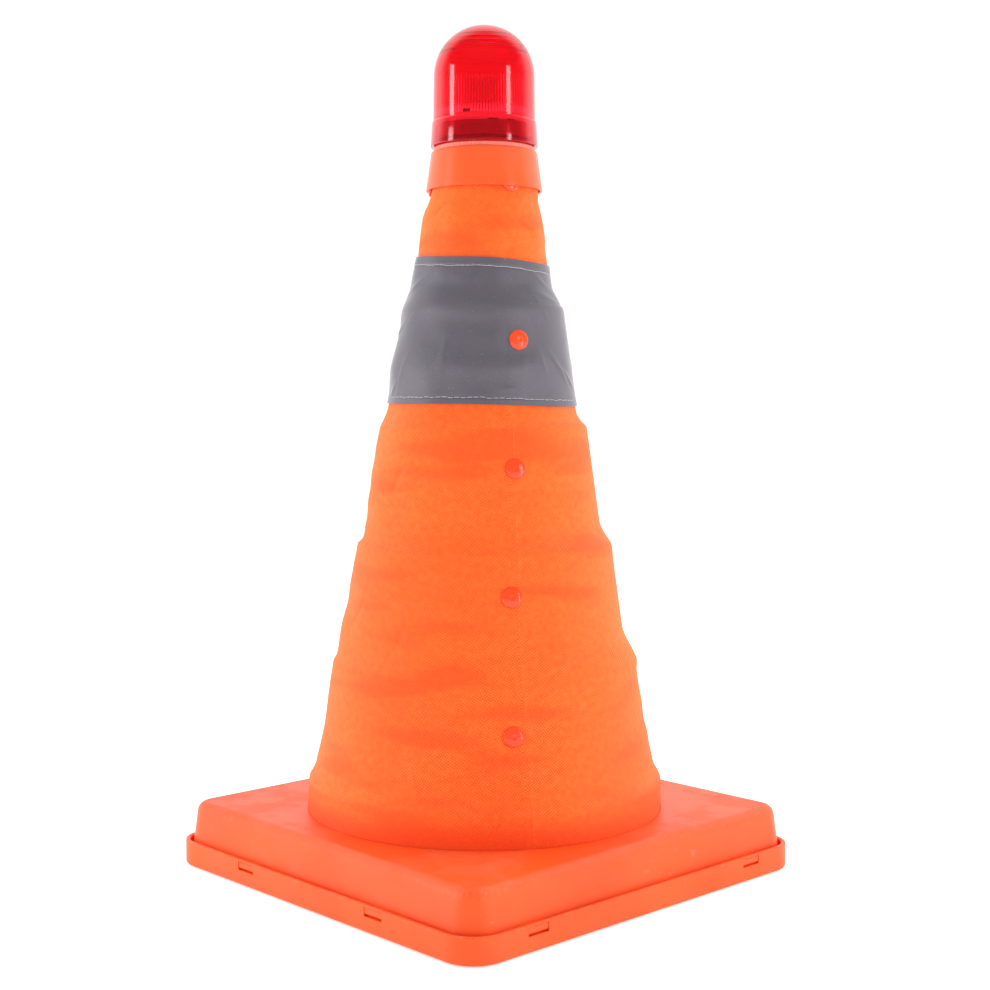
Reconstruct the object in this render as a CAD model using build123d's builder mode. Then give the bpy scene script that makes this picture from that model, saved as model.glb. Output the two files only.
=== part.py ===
"""Pop-up traffic cone with a twist-on warning lamp.

A square hollow base carries five tapered sleeves that nest inside each other. Pulled up, each
sleeve wedges under the lip of the one below it. A cloth cover with a reflective band is riveted
to every sleeve, and its hem is clamped in the base. A collar on the top sleeve holds the lamp:
a battery cup that stays still, and a lens with the LED board that twists on it.

Millimetres. +Z is up and the origin is the centre of the tray's underside.
"""
from build123d import *
from math import asin, atan, cos, degrees, radians, sin
import os

os.makedirs("parts", exist_ok=True)

# ---- Base: tray and shell -------------------------------------------------------------------
tray_side = 270.0
tray_corner = 20.0
tray_floor = 2.5
tray_edge_round = 2.0
rim_top_round = 0.9
rim_height = 15.0
rim_wall = 2.8
shell_rim_gap = 0.6
shell_height = 37.3
shell_wall = 2.2
shell_draft = 7.5
shell_top_round = 6.0
seat_gap = 0.1

hook_width = 14.2
hook_height = 4.4
hook_reach = 0.3
hook_chamfer = 1.5
window_gap = 0.35
window_bottom = 8.8
hooks_on_x_sides = 58.0
hooks_on_y_sides = 88.0

# ---- Cone: sleeves and their receivers ------------------------------------------------------
receiver_top = 56.0
receiver_radius = 105.0
receiver_slope = 0.03
receiver_wall = 1.9
sleeve_count = 5
sleeve_pitch = 70.0
fourth_sleeve_radius = 45.6
sleeve_wall = 1.6
top_sleeve_rise = 90.0
top_sleeve_slope = 0.15
lip_thickness = 2.0
lip_gap = 0.4
flange_reach = 3.35
flange_thickness = 2.5
wedge_gap = 0.1
stop_gap = 0.15
floor_gap = 0.5

clamp_flange_thickness = 2.5
clamp_flange_top = 26.5
clamp_flange_width = 13.5
clamp_screw_inset = 4.5
clamp_screw_count = 6
clamp_screw_start = 30.0
clamp_post_radius = 3.4
skirt_wall = 2.0

# ---- Cloth cover ----------------------------------------------------------------------------
cloth = 0.5
cloth_gap = 0.35
cloth_cling = 36.0
hem_width = 4.0
panel_gap = 0.2
band_start = 13.0
band_end = 28.0
slack = ((30.0, 0.8), (44.0, 2.6), (60.0, 1.7))

# ---- Rivets ---------------------------------------------------------------------------------
rivet_drop = (29.0, 24.0, 23.0, 20.0, 18.0)
rivet_turn = (-123.5, -122.2, -117.6, -110.0, -103.6)
rivets_per_row = 3
rivet_head_radius = 5.9
rivet_head_height = 1.9
rivet_head_edge = 0.4
rivet_shank_radius = 1.9
rivet_foot_radius = 3.0
rivet_foot_height = 1.2
rivet_gap = 0.1
rivet_hole_gap = 0.2

# ---- Collar and lamp ------------------------------------------------------------------------
collar_height = 23.0
collar_skirt_drop = 20.5
collar_flare = 3.2
collar_wall = 1.3
collar_gap = 0.3
collar_round = 1.2
neck_setback = 1.8
neck_wall = 1.9
neck_height = 2.5

cup_radius = 19.0
cup_wall = 1.6
cup_headroom = 3.8
spigot_setback = 0.7
spigot_wall = 2.4
spigot_height = 12.2
spigot_floor = 2.0

lens_gap = 0.4
lens_rim_wall = 2.6
lens_rim_height = 14.0
lens_rim_taper = 0.7
lens_shoulder = 1.9
lens_shoulder_rise = 1.0
lens_wall = 2.1
lens_taper = 0.4
lens_dome_start = 41.4
lens_skirt_depth = 16.4

twist_range = 30.0
lug_count = 3
lug_arc = 8.0
lug_turn = -154.0
lug_height = 2.2
lug_rise = 6.8
lug_reach = 1.2
lug_root = 0.5
lug_gap = 0.3

seal_section = 1.7
seal_rise = 3.0
seal_groove_depth = 1.4
seal_gap = 0.1
board_thickness = 1.6
board_gap = 0.1
retainer_height = 1.6
retainer_wall = 3.6
led_count = 6
led_radius = 2.5
led_height = 8.6
led_circle = 15.0
led_round = 2.2
reflector_thickness = 1.0
reflector_hub_radius = 5.0
reflector_hub_height = 6.0
reflector_rim = 4.0
reflector_setback = 1.4
driver_offset = 15.0
driver_chip = (8.0, 6.0, 1.6)
capacitor_radius = 3.0
capacitor_height = 1.8
capacitor_spacing = 14.0

cell_radius = 5.25
cell_length = 44.5
cell_gap = 0.15
cell_web = 0.8
cell_round = 0.5
nub_radius = 1.9
nub_height = 0.8
holder_wall = 1.2
holder_drop = 4.0
holder_slot = 4.0
contact_thickness = 0.4
contact_width = 4.0
contact_bend = 0.6
contact_foot = 2.0
contact_riser = 3.0
contact_tip = 4.0
contact_spring = 1.2

screw_radius = 1.3
screw_head_radius = 2.5
screw_head_height = 1.6
screw_gap = 0.05
lamp_screw_count = 3
lamp_screw_start = 90.0

# ---- Worked-out sizes -----------------------------------------------------------------------
radius_step = (receiver_radius - fourth_sleeve_radius) / (sleeve_count - 1)
sleeve_slope = (radius_step - sleeve_wall - wedge_gap - flange_reach) / sleeve_pitch
overlap = lip_thickness + stop_gap + flange_thickness
tops = [receiver_top + sleeve_pitch * k for k in range(sleeve_count)]
tops.append(tops[-1] + top_sleeve_rise)
bottoms = [tops[k - 1] - overlap for k in range(1, sleeve_count + 1)]
collapsed_bottom = tray_floor + floor_gap
band_bottom = tops[3] + band_start
band_top = tops[4] + band_end


def receiver_outer(z):
    """Outer radius of the ring in the base that the first sleeve slides in."""
    return receiver_radius + receiver_slope * (receiver_top - z)


def sleeve_outer(k, z):
    """Outer wall radius of sleeve k, which counts from 1 at the bottom, at height z."""
    if k == 0:
        return receiver_outer(z)
    if k < sleeve_count:
        return receiver_radius - radius_step * k + sleeve_slope * (tops[k] - z)
    foot = lip_inner(k - 1) - lip_gap
    return foot - top_sleeve_slope * (z - (tops[k - 1] - lip_thickness))


def wall_of(k):
    """Wall thickness of sleeve k, or of the receiver in the base for 0."""
    return sleeve_wall if k else receiver_wall


def flange_outer(k, z):
    """Radius of sleeve k's bottom flange, which wedges inside the piece below it."""
    return sleeve_outer(k - 1, z) - wall_of(k - 1) - wedge_gap


def lip_inner(k):
    """Radius of the opening in the lip of sleeve k, round the wall of the next sleeve up."""
    if k + 1 < sleeve_count:
        return sleeve_outer(k + 1, tops[k] - lip_thickness) + lip_gap
    seat = tops[k] - lip_thickness - stop_gap
    return flange_outer(k + 1, seat) - 3 * wedge_gap - lip_thickness - flange_thickness / 5


def rivet_height(k):
    """Height of the rivets of sleeve k, which counts from 1."""
    return tops[k] - rivet_drop[k - 1]


def face_slope(k):
    """Taper of sleeve k's face."""
    return top_sleeve_slope if k == sleeve_count else sleeve_slope


def turn(*outline, mode=Mode.ADD):
    """Revolves an (r, z) outline about Z in the piece being built."""
    with BuildSketch(Plane.XZ) as profile:
        with BuildLine():
            Polyline(*outline, close=True)
        make_face()
    revolve(profile.sketch, axis=Axis.Z, mode=mode)


def write(piece, name):
    """Names a finished piece and writes its STEP file."""
    piece.part.label = name
    export_step(piece.part, f"parts/{name}.step")


def face_plane(k, height, angle, lift):
    """Plane on the face of sleeve k, lift outside its wall, with its normal pointing out."""
    r = sleeve_outer(k, height) + lift
    out = (cos(radians(angle)), sin(radians(angle)))
    normal = Vector(out[0], out[1], face_slope(k)).normalized()
    return Plane(origin=(r * out[0], r * out[1], height), x_dir=(-out[1], out[0], 0), z_dir=normal)


def rivet_planes(k):
    """The planes that the rivet heads of sleeve k sit on, on the outside of the cloth."""
    lift = cloth_gap + cloth
    angles = [rivet_turn[k - 1] + 360 / rivets_per_row * n for n in range(rivets_per_row)]
    return [face_plane(k, rivet_height(k), a, lift) for a in angles]


def rivet_holes(k):
    """Cuts clearance holes for the rivets of sleeve k through the piece being built."""
    with Locations(*rivet_planes(k)):
        depth = 2 * (cloth_gap + cloth + sleeve_wall)
        Cylinder(rivet_shank_radius + rivet_hole_gap, 2 * depth, mode=Mode.SUBTRACT)


def polar_points(radius, count, start=0.0):
    """Points spaced evenly on a circle."""
    turns = [radians(start + 360 / count * n) for n in range(count)]
    return [(radius * cos(t), radius * sin(t)) for t in turns]


def pan_screw(length):
    """A pan head screw with its head's underside at z = 0 and its shank going up."""
    with BuildPart() as screw:
        Cylinder(screw_radius, length, align=(Align.CENTER, Align.CENTER, Align.MIN))
        with Locations((0, 0, -screw_head_height)):
            Cylinder(
                screw_head_radius, screw_head_height, align=(Align.CENTER, Align.CENTER, Align.MIN)
            )
        fillet(screw.edges().group_by(Axis.Z)[0], screw_head_height / 3)
    return screw.part


# ---- Base -----------------------------------------------------------------------------------
def hook_places():
    """Centre, side length along X and along Y of each snap hook, flush with the tray's rim."""
    half = tray_side / 2
    places = []
    for sign in (-1, 1):
        for spot in (-1, 1):
            places.append((sign * half, spot * hooks_on_x_sides, "x"))
            places.append((spot * hooks_on_y_sides, sign * half, "y"))
    return places


def make_tray():
    """Flat tray with an upright rim round the shell and a window for each snap hook."""
    with BuildPart() as tray:
        with BuildSketch():
            RectangleRounded(tray_side, tray_side, tray_corner)
        extrude(amount=rim_height)
        fillet(tray.faces().sort_by(Axis.Z)[0].edges(), tray_edge_round)
        inner = tray_side - 2 * rim_wall
        with BuildSketch(Plane.XY.offset(tray_floor)):
            RectangleRounded(inner, inner, tray_corner - rim_wall)
        extrude(amount=rim_height, mode=Mode.SUBTRACT)
        fillet(tray.faces().sort_by(Axis.Z)[-1].edges(), rim_top_round)
        window = hook_width + 2 * window_gap
        for x, y, side in hook_places():
            size = (4 * rim_wall, window) if side == "x" else (window, 4 * rim_wall)
            middle = window_bottom + window_gap + hook_height / 2
            with Locations((x, y, middle)):
                Box(*size, hook_height + 2 * window_gap, mode=Mode.SUBTRACT)
    write(tray, "base_tray")


def make_shell():
    """Hollow square housing with drafted sides, a round opening for the cone and snap hooks."""
    outer = tray_side - 2 * (rim_wall + shell_rim_gap)
    corner = tray_corner - rim_wall - shell_rim_gap
    foot = tray_floor + seat_gap
    opening = receiver_outer(clamp_flange_top) + cloth_gap + cloth + 2 * seat_gap
    screw_circle = receiver_outer(clamp_flange_top) + clamp_flange_width - clamp_screw_inset
    with BuildPart() as shell:
        with BuildSketch(Plane.XY.offset(foot)):
            RectangleRounded(outer, outer, corner)
        extrude(amount=shell_height - foot, taper=shell_draft)
        fillet(shell.faces().sort_by(Axis.Z)[-1].edges(), shell_top_round)
        with BuildSketch(Plane.XY.offset(foot)):
            RectangleRounded(outer - 2 * shell_wall, outer - 2 * shell_wall, corner - shell_wall)
        extrude(amount=shell_height - foot - shell_wall, taper=shell_draft, mode=Mode.SUBTRACT)
        under = shell_height - shell_wall
        turn(
            (opening, clamp_flange_top + cloth + 2 * seat_gap),
            (opening + skirt_wall, clamp_flange_top + cloth + 2 * seat_gap),
            (opening + skirt_wall, under + seat_gap),
            (opening, under + seat_gap),
        )
        with Locations((0, 0, under)):
            Cylinder(opening, 3 * shell_wall, mode=Mode.SUBTRACT)
        posts = polar_points(screw_circle, clamp_screw_count, clamp_screw_start)
        with BuildSketch(Plane.XY.offset(clamp_flange_top + seat_gap)):
            with Locations(*posts):
                Circle(clamp_post_radius)
        extrude(amount=under + seat_gap - clamp_flange_top)
        with BuildSketch(Plane.XY.offset(clamp_flange_top)):
            with Locations(*posts):
                Circle(screw_radius + screw_gap)
        extrude(amount=under - shell_wall / 2 - clamp_flange_top, mode=Mode.SUBTRACT)
        reach = rim_wall + shell_rim_gap + shell_wall
        for x, y, side in hook_places():
            back = 1 - (hook_reach + reach / 2) / (tray_side / 2)
            spot = (x * back, y) if side == "x" else (x, y * back)
            size = (reach, hook_width) if side == "x" else (hook_width, reach)
            with Locations((*spot, window_bottom + window_gap + hook_height / 2)):
                Box(*size, hook_height)
        tip = tray_side / 2 - hook_reach
        lower = window_bottom + window_gap
        nose = [
            e
            for e in shell.edges()
            if abs(max(abs(e.center().X), abs(e.center().Y)) - tip) < 0.01
            and abs(e.center().Z - lower) < 0.01
        ]
        chamfer(nose, hook_chamfer)
    write(shell, "base_shell")


def make_receiver():
    """Ring that holds the first sleeve and clamps the cloth's hem under the shell."""
    top, foot = receiver_top, clamp_flange_top - clamp_flange_thickness
    flange = receiver_outer(clamp_flange_top) + clamp_flange_width
    screw_circle = flange - clamp_screw_inset
    seat = top - lip_thickness
    with BuildPart() as ring:
        turn(
            (receiver_outer(foot) - receiver_wall, foot),
            (flange, foot),
            (flange, clamp_flange_top),
            (receiver_outer(clamp_flange_top), clamp_flange_top),
            (receiver_outer(top), top),
            (lip_inner(0), top),
            (lip_inner(0), seat),
            (receiver_outer(seat) - receiver_wall, seat),
        )
        with BuildSketch(Plane.XY.offset(foot)):
            with Locations(*polar_points(screw_circle, clamp_screw_count, clamp_screw_start)):
                Circle(screw_radius + 2 * screw_gap)
        extrude(amount=clamp_flange_thickness, mode=Mode.SUBTRACT)
    write(ring, "base_ring")
    screw = pan_screw(shell_height - shell_wall - clamp_flange_top)
    with BuildPart() as screws:
        places = polar_points(screw_circle, clamp_screw_count, clamp_screw_start)
        with Locations(*[(x, y, foot) for x, y in places]):
            add(screw)
    write(screws, "base_ring_screws")


# ---- Sleeves and rivets ---------------------------------------------------------------------
def make_sleeve(k):
    """Tapered sleeve k with a wedging flange at its foot and a lip, or a plate, at its top."""
    foot, top, seat = bottoms[k - 1], tops[k], tops[k] - lip_thickness
    shoulder = foot + flange_thickness
    opening = lip_inner(k) if k < sleeve_count else cup_radius + lens_gap
    with BuildPart() as sleeve:
        turn(
            (sleeve_outer(k, foot) - sleeve_wall, foot),
            (flange_outer(k, foot), foot),
            (flange_outer(k, shoulder), shoulder),
            (sleeve_outer(k, shoulder), shoulder),
            (sleeve_outer(k, top), top),
            (opening, top),
            (opening, seat),
            (sleeve_outer(k, seat) - sleeve_wall, seat),
        )
        rivet_holes(k)
        if k == sleeve_count:
            with BuildSketch(Plane.XY.offset(seat)):
                with Locations(*lamp_screw_places):
                    Circle(screw_radius + screw_gap)
            extrude(amount=lip_thickness, mode=Mode.SUBTRACT)
    write(sleeve, f"sleeve_{k}")


def make_rivet():
    """Snap rivet along Z: domed head above z = 0, shank and foot below."""
    wall = cloth + cloth_gap + sleeve_wall + 3 * rivet_gap
    rise = rivet_head_height - rivet_head_edge
    dome = (rivet_head_radius**2 + rise**2) / (2 * rise)
    spread = degrees(asin(rivet_head_radius / dome))
    with BuildPart() as rivet:
        with BuildSketch(Plane.XZ):
            with BuildLine():
                Line((0, rivet_gap), (rivet_head_radius, rivet_gap))
                Line((rivet_head_radius, rivet_gap), (rivet_head_radius, rivet_head_edge))
                CenterArc((0, rivet_head_height - dome), dome, 90 - spread, spread)
                Line((0, rivet_head_height), (0, rivet_gap))
            make_face()
        revolve(axis=Axis.Z)
        with Locations((0, 0, rivet_gap)):
            Cylinder(
                rivet_shank_radius, wall + 2 * rivet_gap, align=(Align.CENTER, Align.CENTER, Align.MAX)
            )
        with Locations((0, 0, -wall)):
            Cylinder(
                rivet_foot_radius, rivet_foot_height, align=(Align.CENTER, Align.CENTER, Align.MAX)
            )
        fillet(rivet.edges().group_by(Axis.Z)[0], rivet_foot_height / 2)
    return rivet.part


def make_rivets(k, rivet):
    """One row of rivets, spaced evenly round sleeve k."""
    with BuildPart() as row:
        with Locations(*rivet_planes(k)):
            add(rivet)
    write(row, f"rivets_{k}")


# ---- Cloth cover ----------------------------------------------------------------------------
def cover_path():
    """Inner (r, z) line of the cloth from the base to the top, as far as it hangs free."""
    path = [(receiver_outer(clamp_flange_top) + cloth_gap, clamp_flange_top + seat_gap / 2)]
    for k in range(sleeve_count):
        path.append((sleeve_outer(k, tops[k]) + cloth_gap, tops[k]))
        if k + 1 < sleeve_count:
            cling = tops[k + 1] - cloth_cling
            path.append((sleeve_outer(k + 1, cling) + cloth_gap, cling))
    top = sleeve_count
    path += [(sleeve_outer(top, tops[top - 1] + rise) + bulge, tops[top - 1] + rise) for rise, bulge in slack]
    for z in (rivet_height(top) - rivet_head_radius - 2 * cloth, tops[top] - lip_thickness):
        path.append((sleeve_outer(top, z) + cloth_gap, z))
    return path


def cover_radius(path, z):
    """Radius of the cloth's inner line at height z."""
    for (r0, z0), (r1, z1) in zip(path[:-1], path[1:]):
        if z0 <= z <= z1:
            return r0 + (r1 - r0) * (z - z0) / (z1 - z0)
    return path[-1][0]


def make_panel(name, low, high, rivet_row=None):
    """A ring of cloth from height low to high, with holes for a row of rivets if it has one."""
    path = cover_path()
    inside = [(cover_radius(path, low), low)]
    inside += [p for p in path if low < p[1] < high]
    inside.append((cover_radius(path, high), high))
    outside = [(r + cloth, z) for r, z in reversed(inside)]
    with BuildPart() as panel:
        turn(*inside, *outside)
        if low < clamp_flange_top + seat_gap:
            edge, top = inside[0][0], low + cloth
            turn((edge, low), (edge + hem_width, low), (edge + hem_width, top), (edge, top))
        if rivet_row:
            rivet_holes(rivet_row)
    write(panel, name)


def make_cover():
    """The cloth cover, parted where it bends over each lip and where the band is sewn on."""
    half = panel_gap / 2
    last = sleeve_count - 1
    make_panel("cover_hem", clamp_flange_top + seat_gap / 2, tops[0] - half)
    for k in range(1, last):
        make_panel(f"cover_panel_{k}", tops[k - 1] + half, tops[k] - half, k)
    make_panel(f"cover_panel_{last}", tops[last - 1] + half, band_bottom - half)
    make_panel("reflective_band_lower", band_bottom + half, tops[last] - half, last)
    make_panel("reflective_band_upper", tops[last] + half, band_top - half)
    make_panel(f"cover_panel_{last + 1}", band_top + half, tops[-1] - lip_thickness, last + 1)


# ---- Collar and lamp ------------------------------------------------------------------------
collar_bottom = tops[-1] - collar_skirt_drop
collar_top = collar_bottom + collar_height
collar_slope = collar_flare / collar_height
rivet_crown = sleeve_outer(sleeve_count, rivet_height(sleeve_count)) + cloth_gap + cloth + rivet_head_height
collar_bottom_radius = (
    rivet_crown
    + collar_gap
    + collar_wall
    + collar_slope * (rivet_height(sleeve_count) - collar_bottom)
)
collar_top_radius = collar_bottom_radius - collar_flare
neck_top = collar_top + neck_height
neck_radius = collar_top_radius - neck_setback
spigot_radius = neck_radius - spigot_setback
spigot_base = neck_top + seat_gap
spigot_top = spigot_base + spigot_height
skirt_inner = spigot_radius + lens_gap
lens_bottom = neck_top + lens_gap + seat_gap
lens_rim_radius = skirt_inner + lens_rim_wall
lens_radius = lens_rim_radius - lens_shoulder
step_height = lens_bottom + lens_skirt_depth
board_top = step_height - board_gap
board_bottom = board_top - board_thickness
retainer_top = board_bottom - board_gap
cell_bed = cup_wall + seat_gap + holder_wall + 2 * contact_thickness
cup_bottom = neck_top - cell_bed - cell_length - cup_headroom
cell_spacing = 2 * (cell_radius + cell_gap) + cell_web
lamp_screw_circle = (cup_radius + sleeve_outer(sleeve_count, tops[-1])) / 2
lamp_screw_places = polar_points(lamp_screw_circle, lamp_screw_count, lamp_screw_start)


def make_collar():
    """Flared orange collar over the cloth's top edge, with a neck that the lamp sits in."""
    plate = tops[-1] + seat_gap
    inner_top = collar_bottom_radius - collar_slope * (plate - collar_bottom) - collar_wall
    with BuildPart() as collar:
        turn(
            (collar_bottom_radius - collar_wall, collar_bottom),
            (collar_bottom_radius, collar_bottom),
            (collar_top_radius, collar_top),
            (neck_radius, collar_top),
            (neck_radius, neck_top),
            (neck_radius - neck_wall, neck_top),
            (neck_radius - neck_wall, collar_top),
            (cup_radius + lens_gap, collar_top),
            (cup_radius + lens_gap, plate),
            (inner_top, plate),
        )
        circles = collar.edges().filter_by(GeomType.CIRCLE)
        fillet([e for e in circles if abs(e.radius - collar_top_radius) < 0.01], collar_round)
        with BuildSketch(Plane.XY.offset(plate)):
            with Locations(*lamp_screw_places):
                Circle(screw_radius + 2 * screw_gap)
        extrude(amount=collar_top - plate, mode=Mode.SUBTRACT)
    write(collar, "top_collar")


def make_lamp_base():
    """Battery cup with a mounting flange, and a spigot with a bayonet track for the lens."""
    inside = cup_radius - cup_wall
    flange_low = collar_top + seat_gap
    flange_radius = neck_radius - neck_wall - lens_gap
    track_low = spigot_base + lug_rise - lug_gap
    track_high = track_low + lug_height + 2 * lug_gap
    groove_low = spigot_base + seal_rise - seal_section / 2 - 0.1
    track_floor = spigot_radius - lug_reach - lug_gap
    with BuildPart() as base:
        turn(
            (0, cup_bottom),
            (cup_radius, cup_bottom),
            (cup_radius, flange_low),
            (flange_radius, flange_low),
            (flange_radius, spigot_base),
            (spigot_radius, spigot_base),
            (spigot_radius, groove_low),
            (spigot_radius - seal_groove_depth, groove_low),
            (spigot_radius - seal_groove_depth, groove_low + seal_section + 0.2),
            (spigot_radius, groove_low + seal_section + 0.2),
            (spigot_radius, spigot_top),
            (spigot_radius - spigot_wall, spigot_top),
            (spigot_radius - spigot_wall, spigot_base + spigot_floor),
            (inside, spigot_base + spigot_floor),
            (inside, cup_bottom + cup_wall),
            (0, cup_bottom + cup_wall),
        )
        reach = spigot_radius - track_floor + lug_root
        slack = degrees(atan(lug_gap / spigot_radius)) * 2
        for n in range(lug_count):
            start = lug_turn + 360 / lug_count * n - lug_arc / 2 - slack
            sweep_angle = twist_range + lug_arc + 2 * slack
            with BuildSketch(Plane.XY.offset(track_low)):
                with BuildLine():
                    CenterArc((0, 0), track_floor + reach / 2, start, sweep_angle)
                trace(line_width=reach)
            extrude(amount=track_high - track_low, mode=Mode.SUBTRACT)
            with BuildSketch(Plane.XY.offset(track_low)):
                with BuildLine():
                    CenterArc((0, 0), track_floor + reach / 2, start + twist_range, lug_arc + 2 * slack)
                trace(line_width=reach)
            extrude(amount=spigot_top - track_low, mode=Mode.SUBTRACT)
        with BuildSketch(Plane.XY.offset(flange_low)):
            with Locations(*lamp_screw_places):
                Circle(screw_radius + 2 * screw_gap)
        extrude(amount=spigot_base + spigot_floor - flange_low, mode=Mode.SUBTRACT)
    write(base, "lamp_base")

    head_seat = spigot_base + spigot_floor
    length = head_seat - (tops[-1] - lip_thickness)
    screw = pan_screw(length)
    with BuildPart() as screws:
        with Locations(*lamp_screw_places):
            with Locations(Location((0, 0, head_seat), (180, 0, 0))):
                add(screw)
    write(screws, "lamp_screws")

    with BuildPart() as seal:
        with BuildSketch(Plane.XZ):
            with Locations((skirt_inner - seal_gap - seal_section / 2, spigot_base + seal_rise)):
                Circle(seal_section / 2)
        revolve(axis=Axis.Z)
    write(seal, "lens_seal")


def make_lens():
    """Red dome with a stepped skirt and three bayonet lugs inside it."""
    rim_top = lens_bottom + lens_rim_height
    dome = lens_bottom + lens_dome_start
    shoulder = lens_radius + lens_taper
    inner = lens_radius - lens_wall
    with BuildPart() as lens:
        with BuildSketch(Plane.XZ):
            with BuildLine():
                Polyline(
                    (skirt_inner, lens_bottom),
                    (lens_rim_radius, lens_bottom),
                    (lens_rim_radius - lens_rim_taper, rim_top),
                    (shoulder, rim_top + lens_shoulder_rise),
                    (lens_radius, dome),
                )
                CenterArc((0, dome), lens_radius, 0, 90)
                Line((0, dome + lens_radius), (0, dome + inner))
                CenterArc((0, dome), inner, 0, 90)
                Polyline(
                    (inner, dome),
                    (shoulder - lens_wall, step_height),
                    (skirt_inner, step_height),
                    (skirt_inner, lens_bottom),
                )
            make_face()
        revolve(axis=Axis.Z)
        lug_depth = lug_reach + lens_gap + lug_root
        middle = skirt_inner + lug_root - lug_depth / 2
        for n in range(lug_count):
            start = lug_turn + 360 / lug_count * n - lug_arc / 2
            with BuildSketch(Plane.XY.offset(spigot_base + lug_rise)):
                with BuildLine():
                    CenterArc((0, 0), middle, start, lug_arc)
                trace(line_width=lug_depth)
            extrude(amount=lug_height)
    write(lens, "lens")


def make_led_board():
    """LED board in the lens, its retainer ring, reflector, LEDs and driver parts."""
    board_radius = skirt_inner - 2 * board_gap
    with BuildPart() as board:
        with BuildSketch(Plane.XY.offset(board_bottom)):
            Circle(board_radius)
        extrude(amount=board_thickness)
    write(board, "led_board")

    with BuildPart() as retainer:
        with BuildSketch(Plane.XY.offset(retainer_top - retainer_height)):
            Circle(board_radius)
            Circle(board_radius - retainer_wall, mode=Mode.SUBTRACT)
        extrude(amount=retainer_height)
    write(retainer, "board_retainer")

    with BuildPart() as leds:
        with BuildSketch(Plane.XY.offset(board_top)):
            with Locations(*polar_points(led_circle, led_count)):
                Circle(led_radius)
        extrude(amount=led_height)
        fillet(leds.edges().group_by(Axis.Z)[-1], led_round)
    write(leds, "leds")

    low = board_top + 2 * board_gap
    hub, crown, thick = reflector_hub_radius, low + reflector_hub_height, reflector_thickness
    foot, edge = hub + reflector_hub_height, lens_radius - lens_wall - reflector_setback
    with BuildPart() as reflector:
        turn(
            (0, crown),
            (hub, crown),
            (foot, low),
            (edge - reflector_rim, low),
            (edge, low + reflector_rim),
            (edge, low + reflector_rim + thick),
            (edge - reflector_rim, low + thick),
            (foot, low + thick),
            (hub, crown + thick),
            (0, crown + thick),
        )
        with BuildSketch(Plane.XY.offset(low)):
            with Locations(*polar_points(led_circle, led_count)):
                Circle(led_radius + lens_gap)
        extrude(amount=reflector_hub_height, mode=Mode.SUBTRACT)
    write(reflector, "reflector")

    with BuildPart() as driver:
        with Locations((0, driver_offset, board_bottom)):
            Box(*driver_chip, align=(Align.CENTER, Align.CENTER, Align.MAX))
        half = capacitor_spacing / 2
        with Locations((-half, -driver_offset, board_bottom), (half, -driver_offset, board_bottom)):
            Cylinder(
                capacitor_radius, capacitor_height, align=(Align.CENTER, Align.CENTER, Align.MAX)
            )
    write(driver, "driver_parts")


def make_batteries():
    """Two cells in a holder in the cup, the bridge under them and the contacts to the board."""
    holder_low = cup_bottom + cup_wall + seat_gap
    cell_low = holder_low + holder_wall + 2 * contact_thickness
    cell_top = cell_low + cell_length
    holder_top = cell_top - holder_drop
    bore = cell_radius + cell_gap
    width = 2 * (bore + holder_wall)
    spots = [(-cell_spacing / 2, 0), (cell_spacing / 2, 0)]
    with BuildPart() as holder:
        with BuildSketch(Plane.XY.offset(holder_low)):
            SlotOverall(cell_spacing + width, width)
        extrude(amount=holder_top - holder_low)
        with BuildSketch(Plane.XY.offset(holder_low + holder_wall)):
            with Locations(*spots):
                Circle(bore)
        extrude(amount=holder_top, mode=Mode.SUBTRACT)
        with Locations((0, 0, holder_low + holder_wall)):
            size = (cell_spacing, contact_width + 2 * contact_thickness, holder_slot)
            Box(*size, align=(Align.CENTER, Align.CENTER, Align.MIN), mode=Mode.SUBTRACT)
    write(holder, "battery_holder")

    with BuildPart() as cells:
        with BuildSketch(Plane.XY.offset(cell_low)):
            with Locations(*spots):
                Circle(cell_radius)
        extrude(amount=cell_length - nub_height)
        fillet(cells.edges().group_by(Axis.Z)[-1], cell_round)
        with BuildSketch(Plane.XY.offset(cell_top - nub_height)):
            with Locations(*spots):
                Circle(nub_radius)
        extrude(amount=nub_height)
    write(cells, "battery_cells")

    with BuildPart() as bridge:
        with Locations((0, 0, holder_low + holder_wall + contact_thickness / 2)):
            size = (cell_spacing + contact_width, contact_width, contact_thickness)
            Box(*size, align=(Align.CENTER, Align.CENTER, Align.MIN))
    write(bridge, "cell_bridge")

    leaf = board_bottom - 2 * board_gap - contact_thickness / 2
    crown = cell_top + board_gap + contact_thickness / 2
    with BuildPart() as contacts:
        for sign in (-1, 1):
            x = sign * cell_spacing / 2
            riser = x + sign * contact_riser
            with BuildSketch(Plane.XZ.offset(-contact_width / 2)):
                with BuildLine():
                    FilletPolyline(
                        (x - sign * contact_foot, crown),
                        (riser, crown),
                        (riser, leaf - contact_riser),
                        (x - sign * contact_foot / 2, leaf),
                        (x + sign * contact_tip, leaf - contact_spring),
                        radius=contact_bend,
                    )
                trace(line_width=contact_thickness)
            extrude(amount=contact_width)
    write(contacts, "head_contacts")


make_tray()
make_shell()
make_receiver()
rivet_shape = make_rivet()
for number in range(1, sleeve_count + 1):
    make_sleeve(number)
    make_rivets(number, rivet_shape)
make_cover()
make_collar()
make_lamp_base()
make_lens()
make_led_board()
make_batteries()

print("sleeve tops", [round(t, 2) for t in tops])
print("sleeve feet", [round(b, 2) for b in bottoms], "collapsed foot", collapsed_bottom)
print("travel", round(bottoms[0] - collapsed_bottom, 3), "then", sleeve_pitch)
print("lip openings", [round(lip_inner(k), 2) for k in range(sleeve_count)])
print("lamp: collar", collar_bottom, collar_top, "neck", neck_top, "lens", lens_bottom, "step", step_height)
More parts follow.
